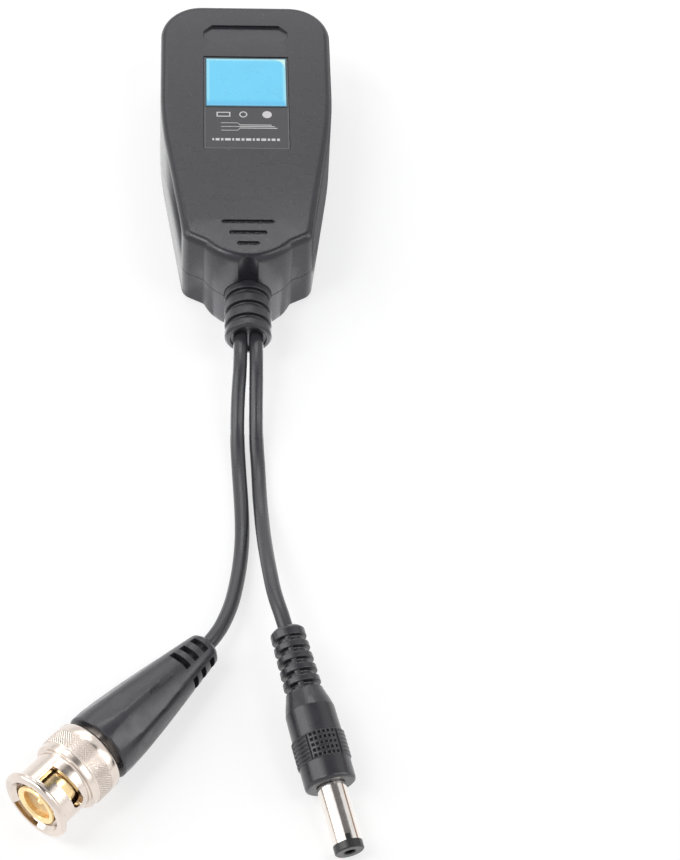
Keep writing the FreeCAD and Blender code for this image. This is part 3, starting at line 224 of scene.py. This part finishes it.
# Cards that only reflections show, which paint light into reflections alone: name, corners and
# their heights in metres, and brightness. Two dark ones hang over the object and paint dark
# reflections, one stands far to its right and paints a warm reflection, and three lie round the
# housing: two bright ones paint highlights on its near and left walls, and a dim one paints the
# floor's contact shadow into the reflection in its right wall.
HUNG = (0.95, 0.95, 0.95, 0.95)
STOOD = (0.0, 0.0, 0.15, 0.15)
LAID = (0.0001, 0.0001, 0.0001, 0.0001)
CARDS = (
    (
        "near_painted_dark_reflection", ((-0.2, -0.5), (0.3, -0.5), (0.3, -0.05), (-0.2, -0.05)), HUNG,
        (0.12, 0.115, 0.12),
    ),
    (
        "far_painted_dark_reflection", ((-0.2, -0.05), (0.8, -0.05), (0.8, 0.31), (-0.2, 0.31)), HUNG,
        (0.19, 0.185, 0.19),
    ),
    (
        "warm_painted_reflection", ((0.58, 0.02), (0.46, 0.26), (0.46, 0.26), (0.58, 0.02)), STOOD,
        (0.36, 0.23, 0.15),
    ),
    (
        "front_painted_highlight", ((-0.018, -0.064), (0.018, -0.064), (0.018, -0.034), (-0.018, -0.034)), LAID,
        (3.0, 3.0, 3.1),
    ),
    (
        "left_painted_highlight", ((-0.06, -0.033), (-0.014, -0.033), (-0.018, 0.06), (-0.06, 0.06)), LAID,
        (1.6, 1.6, 1.6),
    ),
    (
        "right_painted_shadow", ((0.015, -0.022), (0.05, -0.022), (0.05, 0.06), (0.018, 0.06)), LAID,
        (0.3, 0.3, 0.31),
    ),
)


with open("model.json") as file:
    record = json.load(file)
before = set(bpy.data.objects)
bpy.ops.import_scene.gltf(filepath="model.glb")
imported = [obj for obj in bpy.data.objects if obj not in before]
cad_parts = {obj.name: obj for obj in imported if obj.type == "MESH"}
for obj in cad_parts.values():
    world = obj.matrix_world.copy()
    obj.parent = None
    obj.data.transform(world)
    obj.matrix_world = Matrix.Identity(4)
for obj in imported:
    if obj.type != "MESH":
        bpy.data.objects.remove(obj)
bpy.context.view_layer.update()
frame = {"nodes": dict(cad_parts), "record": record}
NODES = frame["nodes"]


def axis_of(yaw, tilt):
    """The way a plug points, as a unit vector."""
    yaw = math.radians(yaw)
    tilt = math.radians(tilt)
    return Vector((
        -math.sin(yaw) * math.cos(tilt),
        -math.cos(yaw) * math.cos(tilt),
        math.sin(tilt),
    ))


def plug_matrix(front, yaw, tilt):
    """Takes local +Z to the way the plug points and local +X to its upper side, in metres."""
    forward = axis_of(yaw, tilt)
    side = forward.cross(Vector((0, 0, 1))).normalized()
    upper = side.cross(forward)
    turn = Matrix((upper, side, forward)).transposed()
    return Matrix.Translation(Vector(front) * MM) @ turn.to_4x4()


def add_object(name, data):
    made = bpy.data.objects.new(name, data)
    bpy.context.scene.collection.objects.link(made)
    return made


BNC = plug_matrix(BNC_FRONT, BNC_YAW, BNC_TILT)
DC = plug_matrix(DC_FRONT, DC_YAW, DC_TILT)


# Materials


def shaded(color, factor):
    """A colour times a factor, at most white."""
    return [min(1, c * factor) for c in color]


class Look:
    """A material under construction, with short calls for the nodes it needs."""

    def __init__(self, name, color, rough, metal=0.0, specular=0.5):
        self.material = bpy.data.materials.new(name)
        self.material.use_nodes = True
        self.tree = self.material.node_tree
        self.shader = self.tree.nodes["Principled BSDF"]
        self.color = color
        self.shader.inputs["Base Color"].default_value = (*color, 1)
        self.shader.inputs["Roughness"].default_value = rough
        self.shader.inputs["Metallic"].default_value = metal
        self.shader.inputs["Specular IOR Level"].default_value = specular
        self.place = self.node("ShaderNodeTexCoord").outputs["Object"]
        self.mix = None
        self.bump = None

    def node(self, kind, **settings):
        made = self.tree.nodes.new(kind)
        for key, value in settings.items():
            setattr(made, key, value)
        return made

    def link(self, source, target):
        self.tree.links.new(source, target)

    def math(self, operation, first, second=0.0):
        made = self.node("ShaderNodeMath", operation=operation)
        for socket, value in zip(made.inputs, (first, second)):
            if isinstance(value, (int, float)):
                socket.default_value = value
            else:
                self.link(value, socket)
        return made.outputs[0]

    def remap(self, value, low, high, new_low, new_high):
        made = self.node("ShaderNodeMapRange")
        self.link(value, made.inputs["Value"])
        made.inputs["From Min"].default_value = low
        made.inputs["From Max"].default_value = high
        made.inputs["To Min"].default_value = new_low
        made.inputs["To Max"].default_value = new_high
        return made.outputs["Result"]

    def noise(self, size, detail, place=None):
        """Noise whose blotches are about the given size in mm."""
        made = self.node("ShaderNodeTexNoise")
        self.link(place or self.place, made.inputs["Vector"])
        made.inputs["Scale"].default_value = 1 / (size * MM)
        made.inputs["Detail"].default_value = detail
        return made.outputs["Fac"]

    def plane_axes(self):
        """The point's X and Y, in metres."""
        split = self.node("ShaderNodeSeparateXYZ")
        self.link(self.place, split.inputs[0])
        return split.outputs["X"], split.outputs["Y"]

    def station(self, matrix):
        """How far back from a plug's front the point is, in metres."""
        back = -(matrix.to_3x3() @ Vector((0, 0, 1)))
        made = self.node("ShaderNodeVectorMath", operation="DOT_PRODUCT")
        self.link(self.place, made.inputs[0])
        made.inputs[1].default_value = back
        return self.math("SUBTRACT", made.outputs["Value"], back.dot(matrix.translation))

    def vary_color(self, noise, low, high):
        """Runs the base colour from low to high times its own with the noise."""
        mix = self.node("ShaderNodeMix", data_type="RGBA")
        self.link(self.remap(noise, *NOISE_RANGE, 0, 1), mix.inputs["Factor"])
        mix.inputs["A"].default_value = (*shaded(self.color, low), 1)
        mix.inputs["B"].default_value = (*shaded(self.color, high), 1)
        self.link(mix.outputs["Result"], self.shader.inputs["Base Color"])
        self.mix = mix

    def blend_color(self, factor, color):
        """Lays another colour over what the base colour has so far."""
        mix = self.node("ShaderNodeMix", data_type="RGBA")
        self.link(factor, mix.inputs["Factor"])
        self.link(self.mix.outputs["Result"], mix.inputs["A"])
        mix.inputs["B"].default_value = (*color, 1)
        self.link(mix.outputs["Result"], self.shader.inputs["Base Color"])
        self.mix = mix

    def paint_hollow_shade(self, share, shade):
        """Painted shade: blends in a share of a darker colour and dulls the gloss where the mesh
        marks a hollow.
        """
        mark = self.node("ShaderNodeAttribute")
        mark.attribute_name = "hollow"
        depth = mark.outputs["Fac"]
        gloss = self.shader.inputs["Specular IOR Level"]
        self.link(self.remap(depth, 0, 1, gloss.default_value, HOLLOW_GLOSS), gloss)
        self.blend_color(self.math("MULTIPLY", depth, share), shaded(self.color, shade))

    def vary_rough(self, noise, low, high):
        self.link(self.remap(noise, *NOISE_RANGE, low, high), self.shader.inputs["Roughness"])

    def set_normal(self, made):
        self.bump = made.outputs["Normal"]
        self.link(self.bump, self.shader.inputs["Normal"])

    def add_bump(self, noise, height):
        """A bump of the given height in mm, on top of the ones added before."""
        made = self.node("ShaderNodeBump")
        made.inputs["Distance"].default_value = height * MM
        self.link(noise, made.inputs["Height"])
        if self.bump:
            self.link(self.bump, made.inputs["Normal"])
        self.set_normal(made)

    def round_edges(self, radius):
        """Shades the edges as if they had the given radius in mm."""
        made = self.node("ShaderNodeBevel")
        made.samples = 6
        made.inputs["Radius"].default_value = radius * MM
        self.set_normal(made)


def moulded(
    name, color, rough, grain=0.12, height=0.012,
    speck=0.0, edge=0.0, waver=0.05, hollows=False, specular=0.5,
):
    """Moulded plastic or rubber: slow changes of tone, fine grain and, if asked, pale specks and
    painted shade in hollows.
    """
    look = Look(name, color, rough, specular=specular)
    if edge:
        look.round_edges(edge)
    look.vary_color(look.noise(9.0, 2.0), 0.94, 1.06)
    if speck:
        look.blend_color(look.remap(look.noise(0.42, 2.0), 0.72, 0.76, 0, speck), SPECK)
    # Painted shade in the hollows that the mesh marks
    if hollows:
        look.paint_hollow_shade(0.75, 0.2)
    look.vary_rough(look.noise(2.5, 3.0), rough - waver, rough + waver)
    look.add_bump(look.noise(grain, 3.0), height)
    return look.material


def turned_metal(name, color, rough, matrix=None, hollows=False):
    """Plated metal with a little tarnish, painted shade in hollows if asked and, given a plug's
    matrix, lathe lines round its axis.
    """
    look = Look(name, color, rough, 1.0)
    look.vary_color(look.noise(3.0, 4.0), 0.93, 1.04)
    look.blend_color(look.remap(look.noise(1.2, 5.0), 0.62, 0.8, 0, 0.25), shaded(color, 0.72))
    # Painted shade in the hollows that the mesh marks
    if hollows:
        look.paint_hollow_shade(1.0, 0.4)
    look.vary_rough(look.noise(1.0, 4.0), rough * 0.8, rough * 1.25)
    if matrix:
        along = look.node("ShaderNodeCombineXYZ")
        look.link(look.station(matrix), along.inputs["X"])
        look.add_bump(look.noise(0.07, 2.0, along.outputs[0]), 0.0014)
    look.add_bump(look.noise(0.9, 3.0), 0.006)
    return look.material


def border(look, half_width, low, high, width):
    """One within a rectangle's border of the given width in mm, zero inside it."""
    x, y = look.plane_axes()
    side = look.math("SUBTRACT", half_width * MM, look.math("ABSOLUTE", x))
    near = look.math("SUBTRACT", y, low * MM)
    far = look.math("SUBTRACT", high * MM, y)
    inside = look.math("MINIMUM", side, look.math("MINIMUM", near, far))
    return look.remap(inside, (width - BORDER_BLUR) * MM, (width + BORDER_BLUR) * MM, 1, 0)


def film(name, color, rough, outline, edge_color, dust=0.0):
    """A printed film: gloss that wavers a little, a border in another colour and fine dust."""
    look = Look(name, color, rough)
    look.vary_color(look.noise(7.0, 3.0), 0.97, 1.03)
    if dust:
        fine = look.noise(0.35, 3.0)
        look.blend_color(look.remap(fine, 0.76, 0.82, 0, dust), shaded(edge_color, 1.5))
    look.blend_color(border(look, *outline), edge_color)
    look.vary_rough(look.noise(2.0, 3.0), rough * 0.85, rough * 1.2)
    look.add_bump(look.noise(4.0, 2.0), 0.02)
    look.add_bump(look.noise(0.3, 2.0), 0.002)
    return look


def dark_film():
    """The label's dark plate, with a paler outline."""
    outline = (PLATE_X, *PLATE_Y, PLATE_OUTLINE)
    return film("dark_film", (0.028, 0.028, 0.034), 0.32, outline, PLATE_EDGE, 0.12).material


def blue_film():
    """The blue field: a dark outline, a pale frame, a deeper foot and a painted corner highlight.
    """
    look = film("blue_film", BLUE, 0.3, (FIELD_X, *FIELD_Y, FIELD_FRAME), BLUE_PALE)
    x, y = look.plane_axes()
    bottom, top = FIELD_Y
    foot = look.remap(y, (bottom + FOOT_FULL) * MM, (bottom + FOOT_END) * MM, FOOT_SHARE, 0)
    look.blend_color(foot, BLUE_DEEP)
    # Painted highlight: paler outside a rounded line at the field's top corner
    inset = CORNER_INSET + CORNER_RADIUS
    over = look.math("MAXIMUM", look.math("SUBTRACT", x, (FIELD_X - inset) * MM))
    up = look.math("MAXIMUM", look.math("SUBTRACT", y, (top - inset) * MM))
    squares = look.math("ADD", look.math("MULTIPLY", over, over), look.math("MULTIPLY", up, up))
    reach = look.math("SQRT", squares)
    corner_highlight = look.remap(reach, CORNER_RADIUS * MM, (CORNER_RADIUS + CORNER_BLUR) * MM, 0, 1)
    look.blend_color(corner_highlight, BLUE_CORNER_HIGHLIGHT)
    look.blend_color(border(look, FIELD_X, *FIELD_Y, FIELD_OUTLINE), BLUE_EDGE)
    return look.material


# One look for each material slot of the part; the last four are for single pieces
LOOKS = {
    "housing": moulded(
        "housing_plastic", (0.023, 0.023, 0.03), 0.28, 0.13, 0.008,
        speck=0.2, edge=0.22, waver=0.02, specular=0.46,
    ),
    "label_dark": dark_film(),
    "label_blue": blue_film(),
    "socket_plastic": moulded("socket_plastic", (0.02, 0.02, 0.022), 0.4),
    "gold_contact": turned_metal("gold_plate", (0.93, 0.71, 0.38), 0.24, BNC),
    "board": moulded("board_laminate", (0.03, 0.17, 0.06), 0.4),
    "ferrite": moulded("ferrite", (0.05, 0.05, 0.055), 0.7, 0.2, 0.02),
    "copper": turned_metal("copper_wire", (0.72, 0.28, 0.12), 0.3),
    "component_white": moulded("ceramic", (0.7, 0.67, 0.6), 0.35),
    "component_black": moulded("component_sleeve", (0.02, 0.02, 0.025), 0.3),
    "wire_red": moulded("red_insulation", (0.45, 0.02, 0.02), 0.4),
    "wire_black": moulded("black_insulation", (0.025, 0.025, 0.025), 0.4),
    "relief": moulded("relief_rubber", (0.03, 0.03, 0.036), 0.36, 0.15, 0.01),
    "lead_jacket": moulded("jacket", (0.045, 0.045, 0.053), 0.3, 0.25, 0.005),
    "boot": moulded("boot_rubber", BOOT_BLACK, 0.27, 0.16, 0.006),
    "nickel": turned_metal("nickel_plate", NICKEL, 0.2, BNC),
    # The insulator is white; its bright peach colour is a painted reflection of the gold round it
    "insulator_white": moulded("insulator", (0.95, 0.66, 0.36), 0.4),
    "insulator_black": moulded("tip_plastic", (0.018, 0.018, 0.018), 0.3),
    "gasket": moulded("gasket_rubber", (0.3, 0.04, 0.03), 0.6),
    "spring_steel": turned_metal("spring_steel", (0.5, 0.49, 0.48), 0.3, BNC),
    "bright_nickel": turned_metal("bright_nickel_plate", (0.8, 0.76, 0.72), 0.14),
    "bnc_boot": moulded("plug_boot_rubber", BOOT_BLACK, 0.27, 0.16, 0.006, edge=0.12),
    # The grip and the knurl get painted shade in their hollows
    "grip": moulded("grip_rubber", BOOT_BLACK, 0.27, 0.16, 0.006, hollows=True),
    "knurl": turned_metal("knurled_nickel", NICKEL, 0.2, BNC, hollows=True),
    "print": moulded("pale_print", (0.62, 0.6, 0.61), 0.45),
}
for part in frame["record"]["subparts"]:
    node = NODES[part["node"]]
    node.data.materials.clear()
    node.data.materials.append(LOOKS[part["material_slot"]])
NODES["bnc_boot"].data.materials[0] = LOOKS["bnc_boot"]


# Shapes


def weld_corners(node):
    """Joins a CAD mesh's split corners."""
    weld = node.modifiers.new("weld", "WELD")
    weld.merge_threshold = WELD_GAP * MM


def smooth_node(node):
    """Shades a CAD mesh smooth but for its sharp edges."""
    for face in node.data.polygons:
        face.use_smooth = True
    weld_corners(node)
    split = node.modifiers.new("split", "EDGE_SPLIT")
    split.split_angle = math.radians(SHARP_ANGLE)


def soften_node(node, voxel):
    """Turns a CAD mesh into a moulded rubber form with rounded edges."""
    weld_corners(node)
    remesh = node.modifiers.new("remesh", "REMESH")
    remesh.mode = "VOXEL"
    remesh.voxel_size = voxel * MM
    remesh.use_smooth_shade = True
    smooth = node.modifiers.new("smooth", "SMOOTH")
    smooth.factor = SOFT_FACTOR
    smooth.iterations = SOFT_ROUNDS


for name in NODES:
    if name in SOFT_VOXELS:
        soften_node(NODES[name], SOFT_VOXELS[name])
    else:
        smooth_node(NODES[name])


def add_piece(name, data, body, slot, look=None):
    made = add_object(name, data)
    made.data.materials.append(LOOKS[look or slot])
    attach(made, body)
    return made


def add_shape(name, shape, body, slot, look=None, depths=None, smooth=True):
    """Makes a piece of a bmesh; depths say how deep in a hollow each corner lies, from 0 to 1."""
    mesh = bpy.data.meshes.new(name)
    bmesh.ops.recalc_face_normals(shape, faces=shape.faces)
    shape.to_mesh(mesh)
    shape.free()
    if depths:
        marks = mesh.attributes.new("hollow", "FLOAT", "POINT")
        marks.data.foreach_set("value", depths)
    for face in mesh.polygons:
        face.use_smooth = smooth
    add_piece(name, mesh, body, slot, look)


def join_rings(shape, rings):
    """Fills the space between neighbouring closed rings with four-sided faces."""
    for one, two in zip(rings, rings[1:]):
        for k in range(len(one)):
            after = (k + 1) % len(one)
            shape.faces.new((one[k], two[k], two[after], one[after]))


def build_lead(name, points, node):
    """A round lead along the points, in place of the node's plain one."""
    curve = bpy.data.curves.new(name, "CURVE")
    curve.dimensions = "3D"
    spline = curve.splines.new("NURBS")
    spline.points.add(len(points) - 1)
    for point, place in zip(spline.points, points):
        point.co = (*(Vector(place) * MM), 1)
    spline.order_u = CURVE_ORDER
    spline.use_endpoint_u = True
    spline.resolution_u = CURVE_STEPS
    curve.bevel_depth = LEAD_RADIUS * MM
    curve.bevel_resolution = CURVE_ROUNDNESS
    curve.use_fill_caps = True
    lead = add_piece(name, curve, "balun", "lead_jacket")
    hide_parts(node)


def whole_route(route, front, forward, length):
    """The route points and two more, which take the lead into a plug's boot."""
    approach = Vector(front) - forward * (length + MOUTH_APPROACH)
    seat = Vector(front) - forward * (length - MOUTH_DEPTH)
    return [*route, approach, seat]


def build_band(plug, front, back, rows, columns, ramp, profile):
    """A closed band round a plug that rises over a few rows at both ends, and its depths.

    From the angle in degrees, the share of the band's length and the share of the rise, the
    profile tells the radius in mm and how deep in a hollow the corner lies.
    """
    shape = bmesh.new()
    rings = []
    depths = []
    for row in range(rows + 1):
        share = row / rows
        station = front + (back - front) * share
        rise = min(1, min(row, rows - row) / ramp)
        ring = []
        for column in range(columns):
            degrees = 360 * column / columns
            radius, depth = profile(degrees, share, rise)
            angle = math.radians(degrees)
            place = Vector((radius * math.cos(angle), radius * math.sin(angle), -station)) * MM
            ring.append(shape.verts.new(plug @ place))
            depths.append(depth)
        rings.append(ring)
    join_rings(shape, rings)
    return shape, depths


def knurl_profile(degrees, share, rise):
    """Crossed diamond teeth."""
    pitch = math.tau * KNURL_TIP / KNURL_COUNT
    turn = degrees / 360 * KNURL_COUNT
    slide = (KNURL_BACK - KNURL_FRONT) * share / pitch
    one = abs((turn + slide) % 1 * 2 - 1)
    two = abs((turn - slide) % 1 * 2 - 1)
    tooth = min(min(one, two) * KNURL_SLOPE, 1)
    low = KNURL_ROOT - KNURL_SUNK
    return low + (KNURL_TIP - low) * tooth * rise, max(0, 1 - KNURL_SLOPE * tooth)


def build_knurl():
    """A band of crossed diamond teeth round the coupling nut."""
    shape, depths = build_band(
        BNC, KNURL_FRONT, KNURL_BACK, KNURL_ROWS, KNURL_COLUMNS, KNURL_RAMP, knurl_profile
    )
    add_shape("nut_knurl", shape, "coupling", "nickel", "knurl", depths)


def grip_height(turn, share):
    """How high the grip pattern stands, from 0 to 1, at an angle and a share of its length."""
    turn = abs(turn)
    if turn < PIT_FIELD:
        across = abs((turn / PIT_PITCH) % 1 - 0.5) < PIT_HALF_WIDTH
        along = abs((share * PIT_ROWS) % 1 - 0.5) < PIT_HALF_LENGTH
        return 0.0 if across and along else LAND_HEIGHT
    if turn < GROOVE_FIELD:
        place = (turn - PIT_FIELD) / (GROOVE_FIELD - PIT_FIELD)
        return GROOVE_HEIGHT if abs(place - 0.5) < GROOVE_HALF_WIDTH else LAND_HEIGHT
    return RIB_HEIGHT + RIB_SWING * math.cos(math.tau * (share * RIB_COUNT - RIB_START))


def grip_profile(degrees, share, rise):
    """The grip pattern, repeated round the boot; what stands below half height is hollow."""
    turn = (degrees - GRIP_TURN + GRIP_PERIOD / 2) % GRIP_PERIOD - GRIP_PERIOD / 2
    high = grip_height(turn, share)
    stand = (GRIP_BASE + (1 - GRIP_BASE) * high) * rise
    radius = GRIP_RADIUS - GRIP_SUNK + (GRIP_HEIGHT + GRIP_SUNK) * stand
    return radius, max(0, 1 - 2 * high) * rise


def build_grip():
    """The band of small raised marks round the power plug's boot."""
    shape, depths = build_band(
        DC, GRIP_FRONT, GRIP_BACK, GRIP_ROWS, GRIP_COLUMNS, GRIP_RAMP, grip_profile
    )
    bmesh.ops.smooth_vert(
        shape, verts=shape.verts, factor=GRIP_SOFTENING,
        use_axis_x=True, use_axis_y=True, use_axis_z=True,
    )
    add_shape("plug_grip", shape, "balun", "boot", "grip", depths)


def build_marks():
    """Plain pale marks on the label's dark half: three shapes, stepped lines, a row of bars."""
    shape = bmesh.new()
    height = PLATE_TOP + MARK_RISE

    def polygon(points):
        shape.faces.new([shape.verts.new(Vector((x, y, height)) * MM) for x, y in points])

    def bar(x0, y0, x1, y1):
        polygon([(x0, y0), (x1, y0), (x1, y1), (x0, y1)])

    def disc(x, y, radius, inner=0.0):
        for index in range(DISC_STEPS):
            one, two = (math.tau * k / DISC_STEPS for k in (index, index + 1))
            corners = [(x + radius * math.cos(a), y + radius * math.sin(a)) for a in (one, two)]
            if inner:
                corners += [(x + inner * math.cos(a), y + inner * math.sin(a)) for a in (two, one)]
            else:
                corners.append((x, y))
            polygon(corners)

    for corners in FRAME_BARS:
        bar(*corners)
    disc(*RING)
    disc(*DISC)
    thin, thick = LINE_WIDTHS
    for y, step, end in STEPPED_LINES:
        after = y + step
        bar(LINE_START, y, STEP_START, y + thin)
        bar(STEP_END, after, end, after + thick)
        polygon([
            (STEP_START, y), (STEP_END, after), (STEP_END, after + thick), (STEP_START, y + thin),
        ])
    x = ROW_START
    for width in ROW_WIDTHS:
        bar(x, ROW_Y[0], x + width, ROW_Y[1])
        x += width + ROW_GAP
    add_shape("label_marks", shape, "balun", "insulator_white", "print", smooth=False)


def build_lump(shape, x, y, base, reach, height):
    """A dome, cut off below its top."""
    rings = []
    for level in LUMP_LEVELS:
        across = reach * math.cos(level * math.pi / 2)
        z = base + height * math.sin(level * math.pi / 2)
        ring = []
        for k in range(LUMP_SIDES):
            angle = math.tau * k / LUMP_SIDES
            place = (x + across * math.cos(angle), y + across * math.sin(angle), z)
            ring.append(shape.verts.new(Vector(place) * MM))
        rings.append(ring)
    join_rings(shape, rings)
    shape.faces.new(rings[-1])


def build_lumps():
    """Small rough lumps on the floors of the three grip grooves, uneven by waves out of step."""
    shape = bmesh.new()
    for row, (y, length, floor) in enumerate(GROOVES):
        count = int(length / LUMP_PITCH)
        for index in range(count):
            wave = math.sin(index * 2.4 + row * 1.7)
            sway = math.sin(index * 4.1 + row)
            swell = math.cos(index * 1.3 + row)
            build_lump(
                shape,
                x=(index - (count - 1) / 2) * LUMP_PITCH + LUMP_SHIFT * wave,
                y=y + LUMP_SWAY * sway,
                base=floor - LUMP_SUNK,
                reach=LUMP_REACH * (1 + LUMP_SPREAD * wave),
                height=LUMP_HEIGHT * (1 - LUMP_SWELL + LUMP_SWELL * swell),
            )
    add_shape("groove_lumps", shape, "balun", "housing")


build_lead(
    "coaxial_lead",
    whole_route(BNC_ROUTE, BNC_FRONT, axis_of(BNC_YAW, BNC_TILT), BNC_PLUG_LENGTH),
    "bnc_lead",
)
build_lead(
    "power_lead",
    whole_route(DC_ROUTE, DC_FRONT, axis_of(DC_YAW, DC_TILT), DC_PLUG_LENGTH),
    "dc_lead",
)
build_knurl()
build_grip()
build_marks()
build_lumps()


# Camera


def place_camera():
    data = bpy.data.cameras.new("camera")
    data.lens = CAMERA_LENS
    data.sensor_width = CAMERA_SENSOR
    data.clip_start = CAMERA_NEAR * MM
    data.clip_end = CAMERA_FAR * MM
    camera = add_object("camera", data)
    bpy.context.scene.camera = camera
    azimuth, elevation, roll = (
        math.radians(a) for a in (CAMERA_AZIMUTH, CAMERA_ELEVATION, CAMERA_ROLL)
    )
    back = Vector((
        math.sin(azimuth) * math.cos(elevation),
        -math.cos(azimuth) * math.cos(elevation),
        math.sin(elevation),
    ))
    level = Vector((math.cos(azimuth), math.sin(azimuth), 0))
    upward = back.cross(level)
    right = math.cos(roll) * level + math.sin(roll) * upward
    top = -math.sin(roll) * level + math.cos(roll) * upward
    turn = Matrix((right, top, back)).transposed()
    camera.matrix_world = Matrix.Translation(Vector(CAMERA_PLACE) * MM) @ turn.to_4x4()


# Floor, background and light


def plain_shader(tree, kind, color):
    made = tree.nodes.new(kind)
    made.inputs["Color"].default_value = (*color, 1)
    return made


def studio_look(tree, lit, glow, output):
    """Shows the glow to camera, glossy and transmission rays, and the lit shader to the others."""
    path = tree.nodes.new("ShaderNodeLightPath")
    seen = path.outputs["Is Camera Ray"]
    for ray in ("Is Glossy Ray", "Is Transmission Ray"):
        either = tree.nodes.new("ShaderNodeMath")
        either.operation = "MAXIMUM"
        tree.links.new(seen, either.inputs[0])
        tree.links.new(path.outputs[ray], either.inputs[1])
        seen = either.outputs[0]
    mix = tree.nodes.new("ShaderNodeMixShader")
    tree.links.new(seen, mix.inputs[0])
    tree.links.new(lit, mix.inputs[1])
    tree.links.new(glow, mix.inputs[2])
    tree.links.new(mix.outputs[0], output)


def add_sheet(name, corners):
    """A flat sheet and the empty node tree of its own material."""
    mesh = bpy.data.meshes.new(name)
    mesh.from_pydata(corners, [], [tuple(range(len(corners)))])
    material = bpy.data.materials.new(name)
    material.use_nodes = True
    material.node_tree.nodes.clear()
    mesh.materials.append(material)
    return add_object(name, mesh), material.node_tree


def build_floor():
    """A large floor that is white where it is seen and a little brighter in reflections."""
    reach = FLOOR_REACH
    floor, tree = add_sheet(
        "floor", [(-reach, -reach, 0), (reach, -reach, 0), (reach, reach, 0), (-reach, reach, 0)]
    )
    plain = plain_shader(tree, "ShaderNodeBsdfDiffuse", FLOOR_LIT)
    soft = plain_shader(tree, "ShaderNodeBsdfDiffuse", FLOOR_SEEN)
    glow = plain_shader(tree, "ShaderNodeEmission", WHITE)
    path = tree.nodes.new("ShaderNodeLightPath")
    bright = tree.nodes.new("ShaderNodeMath")
    bright.operation = "MULTIPLY_ADD"
    tree.links.new(path.outputs["Is Glossy Ray"], bright.inputs[0])
    bright.inputs[1].default_value = FLOOR_REFLECTED
    bright.inputs[2].default_value = FLOOR_GLOW
    tree.links.new(bright.outputs[0], glow.inputs["Strength"])
    white = tree.nodes.new("ShaderNodeAddShader")
    tree.links.new(soft.outputs[0], white.inputs[0])
    tree.links.new(glow.outputs[0], white.inputs[1])
    output = tree.nodes.new("ShaderNodeOutputMaterial")
    studio_look(tree, plain.outputs[0], white.outputs[0], output.inputs["Surface"])


def build_world():
    """A background that is white where it is seen and lights the object only a little."""
    world = bpy.data.worlds.new("world")
    bpy.context.scene.world = world
    world.use_nodes = True
    tree = world.node_tree
    tree.nodes.clear()
    lit = plain_shader(tree, "ShaderNodeBackground", SKY)
    lit.inputs["Strength"].default_value = SKY_STRENGTH
    glow = plain_shader(tree, "ShaderNodeBackground", WHITE)
    output = tree.nodes.new("ShaderNodeOutputWorld")
    studio_look(tree, lit.outputs[0], glow.outputs[0], output.inputs["Surface"])


def add_softbox(name, place, size, power, aim):
    data = bpy.data.lights.new(name, "AREA")
    data.shape = "RECTANGLE"
    data.size, data.size_y = size
    data.energy = power
    lamp = add_object(name, data)
    lamp.location = place
    lamp.rotation_mode = "QUATERNION"
    lamp.rotation_quaternion = (Vector(aim) - Vector(place)).to_track_quat("-Z", "Y")


def add_card(name, corners, heights, shade):
    """A dark or bright card that only reflections show: light or shade painted into reflections."""
    card, tree = add_sheet(name, [(x, y, z) for (x, y), z in zip(corners, heights)])
    glow = plain_shader(tree, "ShaderNodeEmission", shade)
    output = tree.nodes.new("ShaderNodeOutputMaterial")
    tree.links.new(glow.outputs[0], output.inputs["Surface"])
    card.visible_camera = False
    card.visible_diffuse = False
    card.visible_shadow = False
    card.visible_transmission = False


place_camera()
build_floor()
build_world()
for softbox in SOFTBOXES:
    add_softbox(*softbox)
for card in CARDS:
    add_card(*card)
bpy.context.scene.view_settings.view_transform = "Standard"
